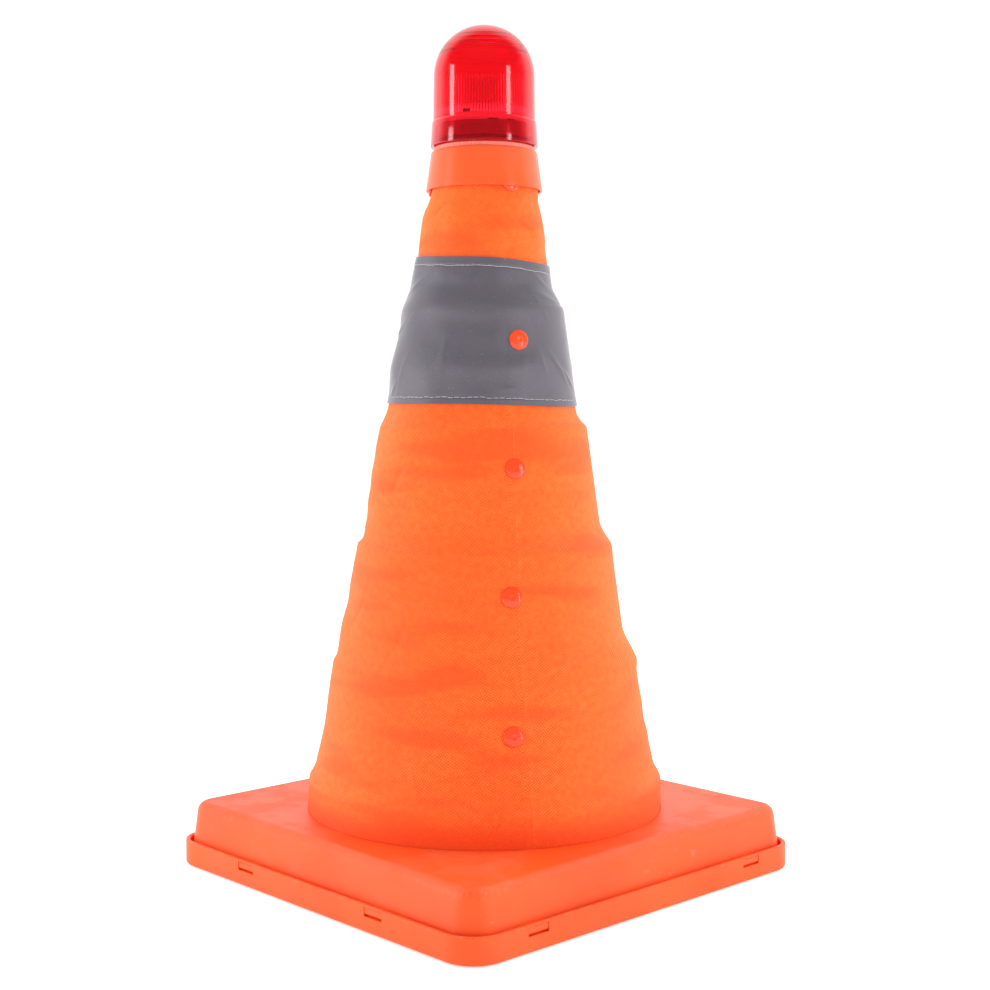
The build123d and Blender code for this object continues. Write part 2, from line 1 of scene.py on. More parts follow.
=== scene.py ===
"""A pop-up road cone with a red lamp on top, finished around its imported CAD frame."""

import math

import bpy
import numpy as np
from mathutils import Matrix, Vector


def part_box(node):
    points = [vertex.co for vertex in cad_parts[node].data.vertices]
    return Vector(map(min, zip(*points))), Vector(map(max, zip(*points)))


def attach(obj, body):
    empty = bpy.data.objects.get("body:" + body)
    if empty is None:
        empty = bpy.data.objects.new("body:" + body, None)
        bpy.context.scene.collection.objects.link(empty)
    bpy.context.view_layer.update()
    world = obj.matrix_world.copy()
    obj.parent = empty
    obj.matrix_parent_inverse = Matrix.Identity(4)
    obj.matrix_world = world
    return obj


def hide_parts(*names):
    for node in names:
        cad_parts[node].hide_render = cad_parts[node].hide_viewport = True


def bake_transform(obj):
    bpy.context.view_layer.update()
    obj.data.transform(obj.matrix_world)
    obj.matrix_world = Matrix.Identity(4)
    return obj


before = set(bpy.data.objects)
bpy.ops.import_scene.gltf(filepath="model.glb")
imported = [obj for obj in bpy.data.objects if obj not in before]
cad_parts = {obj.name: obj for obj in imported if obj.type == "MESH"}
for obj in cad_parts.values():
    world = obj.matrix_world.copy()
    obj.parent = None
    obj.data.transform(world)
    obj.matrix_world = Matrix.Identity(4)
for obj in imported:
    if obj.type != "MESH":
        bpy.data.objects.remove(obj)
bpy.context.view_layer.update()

bl_info = {
    "name": "Pop-up cone with lamp",
    "version": (1, 0, 0),
    "blender": (4, 5, 0),
    "location": "View3D > Sidebar > Cone",
    "description": "Cloth cover, rivets, reflective band, lamp and finishes of a pop-up cone",
    "category": "Object",
}

MM = 0.001

# The surround's strength before and behind the object, on matt surfaces and in what gloss reflects:
FRONT_GLOW, BACK_GLOW = 0.50, 1.5
FRONT_SHINE, BACK_SHINE = 0.06, 1.25
# Painted light: a faint white glow on the reflector film, the board and its retainer. It stands in for the light that
# reaches them through the lens; the lamp itself is not lit.
PAINTED_INNER_LIGHT = (1.0, 0.96, 0.96)
PLASTIC_IOR = 1.49

# The lens's dome, and the rings inside it: how fast they follow each other in the climb, and where they lie.
LENS_RADIUS = 30.0
RING_RATE = 2 * math.pi / math.radians(6.5)
RING_SPAN = math.radians(24), math.radians(52)


# ---- sizes read from the frame


def box_mm(node):
    """Lowest and highest corner of a CAD node, in millimetres."""
    low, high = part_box(node)
    return np.array(low) / MM, np.array(high) / MM


def top_of(node):
    """Height of a CAD node's top, in millimetres."""
    return float(box_mm(node)[1][2])


def foot_of(node):
    """Height of a CAD node's foot, in millimetres."""
    return float(box_mm(node)[0][2])


def reach_of(node):
    """Largest radius of a round CAD node, in millimetres."""
    return float(box_mm(node)[1][0])


def rivet_row(k):
    """Height and first azimuth of a row of rivets: the mean of three times the azimuth, over three."""
    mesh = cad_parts[f"rivets_{k}"].data
    co = np.empty(len(mesh.vertices) * 3)
    mesh.vertices.foreach_get("co", co)
    co = co.reshape(-1, 3) / MM
    turn = np.angle(np.mean(np.exp(3j * np.arctan2(co[:, 1], co[:, 0])))) / 3
    low, high = co[:, 2].min(), co[:, 2].max()
    return float(low + high) / 2, float(turn)


# The cover bends over five lips. Each lip's height and the cover's radius there:
LIP_HEIGHTS = [foot_of(f"cover_panel_{k}") for k in range(1, 5)] + [foot_of("reflective_band_upper")]
LIP_RADII = [reach_of(f"cover_panel_{k}") for k in range(1, 5)] + [reach_of("reflective_band_upper")]
BAND_FOOT = foot_of("reflective_band_lower")
BAND_TOP = top_of("reflective_band_upper")
COVER_FOOT = foot_of("cover_hem")
COVER_TOP = top_of("cover_panel_5")
RIVET_ROWS = [rivet_row(k) for k in range(1, 6)]
RIVET_COUNT = 3
SLEEVE_SLOPE = 0.14
TOP_SLEEVE_SLOPE = 0.15
TOP_SLEEVE_CLING = 41.85
TOP_SLEEVE_START = 334.0
SEAM = math.radians(-120.4)
SLACK_SIDE = math.radians(136.9)
FRONT = math.radians(-133.1)

# How far the cloth runs under the band's two edges, and how far the band's stitch lines lie inside them:
UNDER_FOOT, UNDER_TOP = 3.0, 5.0
FOOT_HEM, TOP_HEM = 3.7, 5.0

# Stations of each span, as (rise above the lip, drop from the lip's radius):
SPANS = [
    [(0, -0.45), (3, 2.0), (9, 4.0), (15, 5.3), (21, 6.5), (27, 8.0), (33, 10.0), (42, 11.0), (54, 12.7), (66, 14.4)],
    [(0, -0.45), (3, 1.0), (6, 1.9), (14, 4.7), (24, 7.2), (33, 9.9), (37, 10.6), (46, 11.5), (60, 13.4), (66, 14.3)],
    [(0, -0.45), (2, 2.0), (5, 3.8), (8, 5.0), (14, 6.6), (20, 7.5), (26, 8.4), (34, 9.8), (47, 11.65), (58, 13.4)],
    [(0, -0.45), (3.5, 2.4), (6.5, 4.2), (10, 5.4), (15, 6.4), (21, 7.1), (33, 7.2), (36, 7.6), (42, 9.2), (58, 13.1)],
    [(0, -0.45), (5, 2.1), (8, 3.5), (11, 4.9), (14, 5.6), (20, 6.8), (26, 7.9), (30, 8.8), (42, 9.05), (47, 9.5)],
]
TOP_STATIONS = [(52, 10.5), (58, 11.8), (61, 12.8), (66, 13.35), (70, 14.0), (76, 15.6), (88, 17.9)]
HEM_STATIONS = [(0, 0.0), (6, -0.3), (9, -0.85), (16, -0.85), (20, -0.6), (25, -0.45)]

# How far the cover hangs out on its slack side, as (height, millimetres):
SLACK = [
    (30, 0.0), (46, 0.0), (56, -0.4), (65, 0.2), (101, -0.2), (119, -0.2), (126, -1.2), (132, -0.9), (138, 0.5),
    (144, 1.5), (150, 1.8), (172, 1.3), (185, 0.8), (192, 0.0), (198, -0.7), (204, 0.5), (210, 1.2), (233, 2.3),
    (251, 2.0), (263, 0.9),
    (269, 1.3), (281, 1.9), (311, 2.2), (335, 1.3), (341, 1.2), (353, 2.0), (365, 1.7), (377, 0.6), (388, 1.0),
    (400, 1.0), (412, 0.0), (424, 0.0),
]


def smoothed(stations, width=2.0):
    """Heights and values between stations, straight from one to the next, then averaged by a bell of that width."""
    step = 0.25
    zs = np.arange(COVER_FOOT - 6, COVER_TOP + 6, step)
    values = np.interp(zs, [s[0] for s in stations], [s[1] for s in stations])
    reach = np.arange(-4 * width, 4 * width + step / 2, step)
    bell = np.exp(-0.5 * (reach / width) ** 2)
    bell /= bell.sum()
    padded = np.pad(values, len(bell) // 2, mode="edge")
    return zs, np.convolve(padded, bell, mode="valid")[: len(zs)]


def cover_stations():
    """All stations of the cover's outside, from its foot to its top, as (height, radius)."""
    rows = [(COVER_FOOT + rise, LIP_RADII[0] - drop) for rise, drop in HEM_STATIONS]
    for height, radius, span in zip(LIP_HEIGHTS, LIP_RADII, SPANS):
        rows += [(height + rise, radius - drop) for rise, drop in span]
    return rows + [(LIP_HEIGHTS[-1] + rise, LIP_RADII[-1] - drop) for rise, drop in TOP_STATIONS]


PROFILE = smoothed(cover_stations())
SLACK_CURVE = smoothed(SLACK)


def sleeve_face(k, z):
    """Radius of a cover lying on a sleeve, which counts from 1: the sleeve's cone, straight from its lip down."""
    if k == len(LIP_HEIGHTS):
        return TOP_SLEEVE_CLING - TOP_SLEEVE_SLOPE * (z - TOP_SLEEVE_START)
    return LIP_RADII[k] + SLEEVE_SLOPE * (LIP_HEIGHTS[k] - z)


def cling_stations():
    """The cover's least radius: each sleeve's face up to its lip, then in a short fall to the face of the next."""
    rows = [(COVER_FOOT - 6, LIP_RADII[0])]
    for k, (height, radius) in enumerate(zip(LIP_HEIGHTS, LIP_RADII), start=1):
        rows += [(height + 0.6, radius), (height + 3.6, sleeve_face(k, height + 3.6))]
    return rows + [(COVER_TOP + 6, sleeve_face(len(LIP_HEIGHTS), COVER_TOP + 6))]


CLING = smoothed(cling_stations(), width=0.9)


def cling(z):
    """Least radius of the cover at a height."""
    return np.interp(z, *CLING)


def angle_from(theta, centre):
    """Signed angle from a direction, between minus and plus half a turn."""
    return np.angle(np.exp(1j * (theta - centre)))


def lip_shield(z):
    """0 at each lip, where the cover is held, rising to 1 a few millimetres away."""
    out = np.ones_like(z)
    for height in LIP_HEIGHTS:
        out = out * (1 - np.exp(-(((z - height) / 4.0) ** 2)))
    return out


def band_foot_at(theta):
    """The band's lower edge: a level line with a slow wave."""
    return BAND_FOOT + 1.0 * np.cos(theta - SLACK_SIDE) + 0.35 * np.cos(3 * theta + 1.0)


def band_top_at(theta):
    """The band's upper edge: a line that tips down on one side, with a slow wave."""
    return BAND_TOP - 0.4 + 2.3 * np.cos(theta - SLACK_SIDE) + 0.35 * np.cos(4 * theta + 2.1)


# Creases of the band, as (azimuth from the front, height, length, width, tilt, rise), in degrees and millimetres.
CREASES = [
    (-63, 350, 20, 1.9, 24, 0.85), (-52, 333, 14, 1.5, 40, 0.6), (-78, 322, 16, 1.8, 30, 0.7),
    (52, 352, 18, 1.7, -30, 0.8), (60, 340, 20, 2.0, -18, 0.9), (44, 336, 15, 1.5, -62, 0.5),
    (56, 300, 22, 1.8, -48, 0.85), (68, 294, 18, 1.6, -35, 0.8), (40, 303, 16, 1.4, -74, 0.45),
    (-58, 298, 22, 1.8, 66, 0.5), (-70, 288, 14, 1.6, 38, 0.7), (-26, 308, 26, 2.0, 86, 0.3),
    (14, 288, 12, 1.6, 4, 0.4), (25, 306, 20, 1.6, 84, 0.35), (128, 345, 22, 2.0, 20, 0.8),
    (150, 300, 24, 1.9, -40, 0.8), (176, 330, 20, 1.8, 55, 0.6), (-112, 342, 22, 1.9, -24, 0.8),
    (-138, 305, 22, 1.8, 46, 0.8), (-160, 350, 16, 1.6, 12, 0.6), (104, 318, 18, 1.7, 62, 0.6),
]

# Folds and drags of the orange cloth, in the same terms.
FOLDS = [
    (-9, 104, 54, 5.0, 2, 0.9), (-8, 79, 54, 4.5, -2, 0.9), (-6, 64, 50, 4.0, 1, 0.7), (-9, 166, 48, 5.0, 1, 0.9),
    (-7, 184, 48, 4.5, -1, 0.8), (-8, 238, 40, 4.5, 1, 0.7), (-7, 222, 40, 4.0, -1, 0.6),
    (-48, 236, 20, 2.4, 62, -0.55), (-34, 148, 18, 2.2, 70, -0.45), (-40, 84, 14, 1.8, 50, -0.4),
    (-24, 224, 16, 2.2, 66, -0.35), (-62, 158, 22, 2.2, 58, -0.5), (30, 212, 20, 2.0, 76, 0.35),
    (-14, 388, 12, 1.6, 40, -0.5), (-46, 392, 14, 1.8, 35, -0.7), (34, 385, 14, 1.8, -40, -0.6),
    (52, 380, 14, 2.0, -20, 0.7), (-60, 379, 14, 2.0, 18, 0.7), (8, 391, 16, 1.7, 6, 0.4),
    (70, 205, 18, 2.4, -30, -0.5), (66, 140, 20, 2.4, -24, -0.5), (120, 150, 30, 2.8, 40, -0.6),
    (160, 225, 26, 2.6, -50, -0.6), (-120, 220, 26, 2.6, 44, -0.6), (-150, 140, 30, 2.8, -36, -0.6),
    (140, 386, 16, 2.0, 30, 0.7), (-140, 384, 16, 2.0, -26, 0.7), (90, 300, 20, 2.2, 40, -0.4),
]


def ridges(theta, z, rows):
    """Sum of short ridges: each is a bell across a slanted line times a wider bell along it."""
    total = np.zeros(np.broadcast(theta, z).shape)
    for azimuth, height, length, width, tilt, rise in rows:
        radius = np.interp(height, *PROFILE)
        across = angle_from(theta, FRONT + math.radians(azimuth)) * radius
        up = z - height
        c, s = math.cos(math.radians(tilt)), math.sin(math.radians(tilt))
        along = across * c + up * s
        aside = -across * s + up * c
        total = total + rise * np.exp(-((aside / width) ** 2) - (along / (length / 2)) ** 2)
    return total


def rivet_pull(theta, z):
    """Share by which each rivet pulls the cover to its sleeve: 1 under the head, falling off as a bell, with the
    distance to the nearest rivet and the direction from it."""
    pull = np.zeros(np.broadcast(theta, z).shape)
    drag = np.zeros_like(pull)
    for height, first in RIVET_ROWS:
        for turn in range(RIVET_COUNT):
            across = angle_from(theta, first + turn * 2 * math.pi / RIVET_COUNT) * cling(np.array(height))
            up = z - height
            far = np.hypot(across, up)
            pull = np.maximum(pull, np.exp(-(np.maximum(far - 4.5, 0) / 7.0) ** 2))
            spokes = np.cos(5 * np.arctan2(up, across) + height)
            drag = drag + spokes * np.exp(-(((far - 10.0) / 4.5) ** 2))
    return pull, drag


def seam_at(z):
    """The seam's azimuth: a slow wave up the cover."""
    return SEAM + 0.012 * np.sin(z / 31.0)


def seam_rise(theta, z):
    """The felled seam stands a third of a millimetre proud over a strip, with soft sides."""
    aside = angle_from(theta, seam_at(z)) * np.interp(z, *PROFILE)
    return 0.34 / (1 + np.exp((np.abs(aside) - 3.2) / 0.45))


def cover_radius(theta, z):
    """Radius of the cover's outside. The stations' profile, swung out towards the slack side by a cosine, kept
    above the sleeve by a soft maximum, then folds, drags at the rivets, slow waves and the seam."""
    held = cling(z)
    free = np.interp(z, *PROFILE) + np.interp(z, *SLACK_CURVE) * np.cos(theta - SLACK_SIDE)
    shield = lip_shield(z)
    pull, drag = rivet_pull(theta, z)
    waves = 0.30 * np.cos(5 * theta + z / 19.0) + 0.22 * np.cos(8 * theta - z / 13.0 + 1.3)
    waves = waves + 0.12 * np.cos(13 * theta + z / 9.0 + 0.4)
    waves = waves + 0.20 * np.cos(z / 2.7 + 1.7 * np.cos(3 * theta + 0.8)) * np.cos(theta + z / 60.0) ** 2
    bumps = ridges(theta, z, FOLDS) * (z > LIP_HEIGHTS[0]) + 0.16 * drag
    free = free + (waves + bumps) * shield * np.clip((z - LIP_HEIGHTS[0]) / 8, 0, 1)
    free = held + (free - held) * (1 - pull)
    body = 0.5 * (free + held + np.sqrt((free - held) ** 2 + 0.09))
    neck = np.clip((z - 399.0) / 6.0, 0, 1)
    return body + seam_rise(theta, z) * (1 - pull) * (1 - neck)


def band_lift(theta, z):
    """The band's outside above the cloth: its two turned hems, creases, and a puckered groove at each stitch line."""
    foot, top = band_foot_at(theta), band_top_at(theta)
    low_line, high_line = foot + FOOT_HEM, top - TOP_HEM
    hem = 1 / (1 + np.exp((z - low_line) / 0.3)) + 1 / (1 + np.exp((high_line - z) / 0.3))
    pucker = 0.08 * np.cos(theta * 90)
    groove = np.exp(-(((z - low_line) / 0.7) ** 2)) + np.exp(-(((z - high_line) / 0.7) ** 2))
    pull, _ = rivet_pull(theta, z)
    creased = 0.75 * ridges(theta, z, CREASES)
    free = 0.42 + 0.28 * hem - (0.30 + pucker) * groove + creased * lip_shield(z)
    return 0.05 + np.maximum(free * (1 - pull), 0.0)


# ---- meshes


def round_z(radius, height, theta):
    """Points at a radius, a height and an azimuth about Z, as whole arrays."""
    radius, height, theta = np.broadcast_arrays(radius, height, theta)
    return np.stack([radius * np.cos(theta), radius * np.sin(theta), height], -1)


def new_mesh(name, points, faces, uv=None, normals=None, smooth=True):
    """A mesh object at the origin, from points in millimetres, whole arrays of quads, loop UVs and point normals."""
    mesh = bpy.data.meshes.new(name)
    points = np.asarray(points, float).reshape(-1, 3) * MM
    faces = np.asarray(faces, np.int32)
    mesh.vertices.add(len(points))
    mesh.vertices.foreach_set("co", points.ravel())
    mesh.loops.add(faces.size)
    mesh.loops.foreach_set("vertex_index", faces.ravel())
    mesh.polygons.add(len(faces))
    mesh.polygons.foreach_set("loop_start", np.arange(0, faces.size, 4, dtype=np.int32))
    mesh.polygons.foreach_set("loop_total", np.full(len(faces), 4, np.int32))
    mesh.polygons.foreach_set("use_smooth", np.full(len(faces), smooth))
    if uv is not None:
        mesh.uv_layers.new(name="Flat").data.foreach_set("uv", np.asarray(uv, np.float32).ravel())
    mesh.update(calc_edges=True)
    mesh.validate()
    if normals is not None:
        mesh.normals_split_custom_set_from_vertices(np.asarray(normals).reshape(-1, 3).tolist())
    made = bpy.data.objects.new(name, mesh)
    bpy.context.scene.collection.objects.link(made)
    return made


def grid_faces(rows, columns, close_rows=False, close_columns=True):
    """Quads of a grid of points, row by row, each facing outwards when rows rise and columns turn left."""
    r = np.arange(rows if close_rows else rows - 1)
    c = np.arange(columns if close_columns else columns - 1)
    rr, cc = np.meshgrid(r, c, indexing="ij")
    up, right = (rr + 1) % rows, (cc + 1) % columns
    quads = np.stack([rr * columns + cc, rr * columns + right, up * columns + right, up * columns + cc], -1)
    return quads.reshape(-1, 4)


def turned(name, profile, columns, wobble):
    """A closed ring turned about Z: a closed loop of (radius, height) points, run counter-clockwise so that the
    faces point outwards; wobble(theta, row) adds to the radius."""
    profile = np.asarray(profile, float)
    theta = np.linspace(0, 2 * math.pi, columns, endpoint=False)
    radius = profile[:, :1] + wobble(theta[None, :], np.arange(len(profile))[:, None])
    faces = grid_faces(len(profile), columns, close_rows=True)
    made = new_mesh(name, round_z(radius, profile[:, 1:], theta), faces)
    made.data.set_sharp_from_angle(angle=math.radians(32))
    return made


def flat_cut(theta, z):
    """Where a point of the cover lies on its flat cut: a cone rolled out from its seam, in metres."""
    foot, top = PROFILE[1][0], PROFILE[1][-1]
    slope = (foot - top) / (COVER_TOP - COVER_FOOT)
    sine = slope / math.hypot(1, slope)
    reach = (foot / sine - (z - COVER_FOOT) * math.hypot(1, slope)) * MM
    turn = ((theta - SEAM) - math.pi) * sine
    return np.stack([reach * np.sin(turn), -reach * np.cos(turn)], -1)


def cloth_tube(name, foot, top, radius, thickness, rows, columns):
    """A two-sided tube of cloth. Rows run from foot(theta) to top(theta) on the outside and back down the inside;
    radius(theta, z) gives the outside. Normals come from the slopes of radius, so that neighbours meet unseen."""
    step = np.linspace(0, 1, rows)[:, None]
    theta = (SEAM + np.linspace(0, 2 * math.pi, columns, endpoint=False))[None, :]
    low, high = foot(theta), top(theta)
    z = low + (high - low) * step
    theta = np.broadcast_to(theta, z.shape)
    r = radius(theta, z)
    turn, rise = 1e-3, 0.05
    by_turn = (radius(theta + turn, z) - radius(theta - turn, z)) / (2 * turn * r)
    by_rise = (radius(theta, z + rise) - radius(theta, z - rise)) / (2 * rise)
    c, s = np.cos(theta), np.sin(theta)
    normal = np.stack([c + by_turn * s, s - by_turn * c, -by_rise], -1)
    normal /= np.linalg.norm(normal, axis=-1, keepdims=True)
    points = np.concatenate([round_z(r, z, theta), round_z(r - thickness, z, theta)[::-1]])
    normals = np.concatenate([normal, -normal[::-1]])
    lap = SEAM + np.linspace(0, 2 * math.pi, columns + 1)
    zz = np.concatenate([z, z[::-1]])
    zz = np.concatenate([zz, zz[:, :1]], axis=1)
    flat = flat_cut(np.broadcast_to(lap, zz.shape), zz)
    above = np.roll(flat, -1, axis=0)
    uv = np.stack([flat[:, :-1], flat[:, 1:], above[:, 1:], above[:, :-1]], 2)
    faces = grid_faces(2 * rows, columns, close_rows=True)
    return new_mesh(name, points, faces, uv=uv, normals=normals)


def level(z):
    """A level edge at a height."""
    return lambda theta: np.full(np.shape(theta), float(z))


def capsules(name, centres, along, out, length, radius):
    """Short rounded threads, all in one mesh: a small closed tube of six sides swept along each stitch."""
    sides = 6
    rings = np.array([(-0.5, 0.02), (-0.47, 0.6), (-0.36, 1.0), (0.36, 1.0), (0.47, 0.6), (0.5, 0.02)])
    turn = np.linspace(0, 2 * math.pi, sides, endpoint=False)
    side = np.cross(along, out)
    lift = 1 - (2 * rings[:, 0]) ** 2
    spine = centres[:, None] + along[:, None] * (rings[:, 0] * length)[:, None]
    spine = spine + out[:, None] * ((lift - 0.5) * radius * 0.9)[:, None]
    ring = (np.cos(turn)[:, None] * side[:, None, None] + np.sin(turn)[:, None] * out[:, None, None])
    points = spine[:, :, None] + ring * (rings[:, 1] * radius)[:, None, None]
    one = grid_faces(len(rings), sides)[:, ::-1]
    caps = np.array([[0, 1, 2, 3], [0, 3, 4, 5]])
    last = (len(rings) - 1) * sides
    one = np.concatenate([one, caps, (caps + last)[:, ::-1]])
    faces = (one[None] + (np.arange(len(centres)) * len(rings) * sides)[:, None, None]).reshape(-1, 4)
    return new_mesh(name, points, faces)


def stitch_frames(theta, z, radius):
    """Places and directions on the cover for stitches that run along a line of points."""
    at = round_z(radius(theta, z), z, theta)
    along = np.roll(at, -1, axis=0) - np.roll(at, 1, axis=0)
    along[0], along[-1] = at[1] - at[0], at[-1] - at[-2]
    along /= np.linalg.norm(along, axis=-1, keepdims=True)
    out = np.stack([np.cos(theta), np.sin(theta), np.full(np.shape(theta), 0.15)], -1)
    out -= along * np.sum(out * along, -1, keepdims=True)
    return at, along, out / np.linalg.norm(out, axis=-1, keepdims=True)


# ---- shader groups


class Value:
    """A node's output in a sum: +, -, * and / with numbers and other values add Math nodes."""

    def __init__(self, socket):
        self.socket = socket
        self.tree = socket.id_data

    def __add__(self, other):
        return maths("ADD", self, other)

    def __sub__(self, other):
        return maths("SUBTRACT", self, other)

    def __rsub__(self, other):
        return maths("SUBTRACT", other, self)

    def __mul__(self, other):
        return maths("MULTIPLY", self, other)

    def __truediv__(self, other):
        return maths("DIVIDE", self, other)

    def __rtruediv__(self, other):
        return maths("DIVIDE", other, self)


def node(tree, kind, **settings):
    """A new node with its settings."""
    made = tree.nodes.new(kind)
    for key, value in settings.items():
        setattr(made, key, value)
    return made


def put(socket, value):
    """Sets a socket to a number or a colour, or links a value to it."""
    if isinstance(value, Value):
        value.tree.links.new(value.socket, socket)
    elif socket.type == "RGBA":
        socket.default_value = (*value, 1.0)
    else:
        socket.default_value = value


def fill(made, **values):
    """Puts values into a node's inputs by name, with _ for a space, and gives the node."""
    for key, value in values.items():
        put(made.inputs[key.replace("_", " ")], value)
    return made


def maths(operation, *values):
    """A Math node's result."""
    tree = next(value.tree for value in values if isinstance(value, Value))
    made = node(tree, "ShaderNodeMath", operation=operation)
    for socket, value in zip(made.inputs, values):
        put(socket, value)
    return Value(made.outputs[0])


def ramp(value, low, high, to_low=0.0, to_high=1.0):
    """A value carried smoothly from one range to another."""
    made = node(value.tree, "ShaderNodeMapRange", interpolation_type="SMOOTHSTEP")
    for socket, item in zip(made.inputs, (value, low, high, to_low, to_high)):
        put(socket, item)
    return Value(made.outputs[0])


def blend(share, first, second, strength=1.0):
    """Two colours mixed by a share times a strength."""
    made = node(share.tree, "ShaderNodeMix", data_type="RGBA", clamp_factor=True)
    for index, value in zip((0, 6, 7), (share if strength == 1.0 else share * strength, first, second)):
        put(made.inputs[index], value)
    return Value(made.outputs[2])


def noise(place, scale, detail=2.0, roughness=0.55):
    """Noise of a number of cells in each metre."""
    made = fill(node(place.tree, "ShaderNodeTexNoise"), Vector=place, Scale=scale, Detail=detail, Roughness=roughness)
    return Value(made.outputs["Fac"])


def stretched(place, scale, turn=(0.0, 0.0, 0.0)):
    """A place turned and stretched, for a pattern."""
    return Value(fill(node(place.tree, "ShaderNodeMapping"), Vector=place, Scale=scale, Rotation=turn).outputs[0])


def split(place):
    """A place's three parts."""
    return [Value(part) for part in fill(node(place.tree, "ShaderNodeSeparateXYZ"), Vector=place).outputs]


def shader_group(name, outputs, **inputs):
    """An empty shader group with a place and number inputs; gives its inputs by name and its output node."""
    tree = bpy.data.node_groups.new(name, "ShaderNodeTree")
    tree.interface.new_socket(name="Place", in_out="INPUT", socket_type="NodeSocketVector")
    for label, value in inputs.items():
        made = tree.interface.new_socket(name=label.replace("_", " "), in_out="INPUT", socket_type="NodeSocketFloat")
        made.default_value = value
    for label in outputs:
        tree.interface.new_socket(name=label, in_out="OUTPUT", socket_type="NodeSocketFloat")
    given = node(tree, "NodeGroupInput").outputs
    return {socket.name: Value(socket) for socket in given if socket.name}, node(tree, "NodeGroupOutput")


def use_group(name, place, **values):
    """A group placed in a material with its own values; gives its outputs by name."""
    made = fill(node(place.tree, "ShaderNodeGroup", node_tree=bpy.data.node_groups[name]), Place=place, **values)
    return {socket.name: Value(socket) for socket in made.outputs}


def make_weave_group():
    """Plain weave: two families of round threads, each a raised cosine of the place across it, one over the other by
    the sign of a slower product of sines."""
    given, out = shader_group("Basket weave", ["Height", "Tone"], Pitch=0.00125)
    x, y, _ = split(given["Place"])
    rate = 2 * math.pi / given["Pitch"]
    x, y = x * rate, y * rate
    warp, weft = (maths("COSINE", across) * 0.5 + 0.5 for across in (x, y))
    over = ramp(maths("SINE", x * 0.5) * maths("SINE", y * 0.5), -0.25, 0.25)
    height = (warp * over + weft * (1.0 - over)) * 0.6 + (warp + weft) * 0.2
    # Tone is partly painted shade: it follows the threads' height, darker in the hollows between them and lighter on
    # their tops. The rest is a random tone.
    fill(out, Height=height, Tone=noise(given["Place"], 260.0) * 0.4 + height * 0.6)


def make_crumple_group():
    """Soft crumples of cloth: two sizes of noise, folded about their middle."""
    given, out = shader_group("Cloth crumple", ["Height"], Size=30.0)
    place, size = given["Place"], given["Size"]
    fill(out, Height=maths("ABSOLUTE", noise(place, size) - 0.5) + noise(place, size * 3.3, 1.0) * 0.12)


def make_grain_group():
    """Moulded plastic: a fine spark-eroded grain with slow flow marks, and a tone that varies with both."""
    given, out = shader_group("Moulded grain", ["Height", "Tone", "Sheen patch"], Grain=1400.0, Flow=14.0)
    place = given["Place"]
    flow = noise(place, given["Flow"], 3.0, 0.5)
    patch = ramp(noise(place, given["Flow"] * 3.0, 4.0), 0.42, 0.62)
    fill(out, Height=noise(place, given["Grain"], 3.0, 0.6) + flow * 2.0, Tone=ramp(flow, 0.3, 0.7), Sheen_patch=patch)


def make_wear_group():
    """Wear: a band about one height, broken up by noise, and scattered fine scratches; heavier away from the axis."""
    given, out = shader_group("Edge wear", ["Edge", "Scratch"], Height=0.0, Width=MM, Corner_start=0.0,
                              Corner_end=0.01)
    place = given["Place"]
    x, y, z = split(place)
    away = (z - given["Height"]) / given["Width"]
    band = maths("POWER", math.e, away * away * -1.0)
    aside = maths("ABSOLUTE", x) + maths("ABSOLUTE", y)
    corner = ramp(aside, given["Corner start"], given["Corner end"], 0.35, 1.0)
    broken = ramp(noise(place, 420.0, 5.0, 0.7), 0.45, 0.7)
    lines = noise(stretched(place, (90.0, 900.0, 300.0), (0.3, 0.2, 0.9)), 1.0, 2.0, 0.5)
    where = ramp(noise(place, 22.0), 0.52, 0.62)
    fill(out, Edge=band * corner * broken, Scratch=ramp(lines, 0.68, 0.72) * where)


def make_dust_group():
    """Dust: settles where the surface faces up, in soft patches."""
    given, out = shader_group("Dust", ["Dust"])
    place = given["Place"]
    _, _, up = split(Value(node(place.tree, "ShaderNodeNewGeometry").outputs["Normal"]))
    fill(out, Dust=ramp(up, 0.35, 1.0) * ramp(noise(place, 34.0, 5.0, 0.65), 0.4, 0.75))


def make_bead_group():
    """Reflective film: painted glints of fine glass beads as bright cells, and rubbed patches with fewer of them."""
    given, out = shader_group("Glass beads", ["Sparkle", "Rubbed", "Height"], Size=1600.0)
    place, size = given["Place"], given["Size"]
    cells = fill(node(place.tree, "ShaderNodeTexVoronoi", feature="F1"), Vector=place, Scale=size)
    far = Value(cells.outputs["Distance"])
    painted_glint = ramp(far, 0.30, 0.12) * ramp(noise(place, size * 0.55, 2.0, 0.7), 0.56, 0.70)
    fill(out, Sparkle=painted_glint, Rubbed=ramp(noise(place, 46.0, 5.0, 0.68), 0.45, 0.72), Height=1.0 - far)


# ---- materials


def material(name):
    """A material with its Principled shader and its Object place."""
    made = bpy.data.materials.new(name)
    made.use_nodes = True
    tree = made.node_tree
    return made, tree.nodes["Principled BSDF"], Value(node(tree, "ShaderNodeTexCoord").outputs["Object"])


def bump(shader, height, strength, distance, **under):
    """A bump that feeds the shader's normal, on top of another, under Normal, if there is one."""
    made = fill(node(shader.id_data, "ShaderNodeBump"), Height=height, Strength=strength, Distance=distance, **under)
    fill(shader, Normal=Value(made.outputs[0]))
    return Value(made.outputs[0])


def flat_place(place):
    """The place on the flat cut of a piece of cloth."""
    return Value(node(place.tree, "ShaderNodeUVMap", uv_map="Flat").outputs[0])


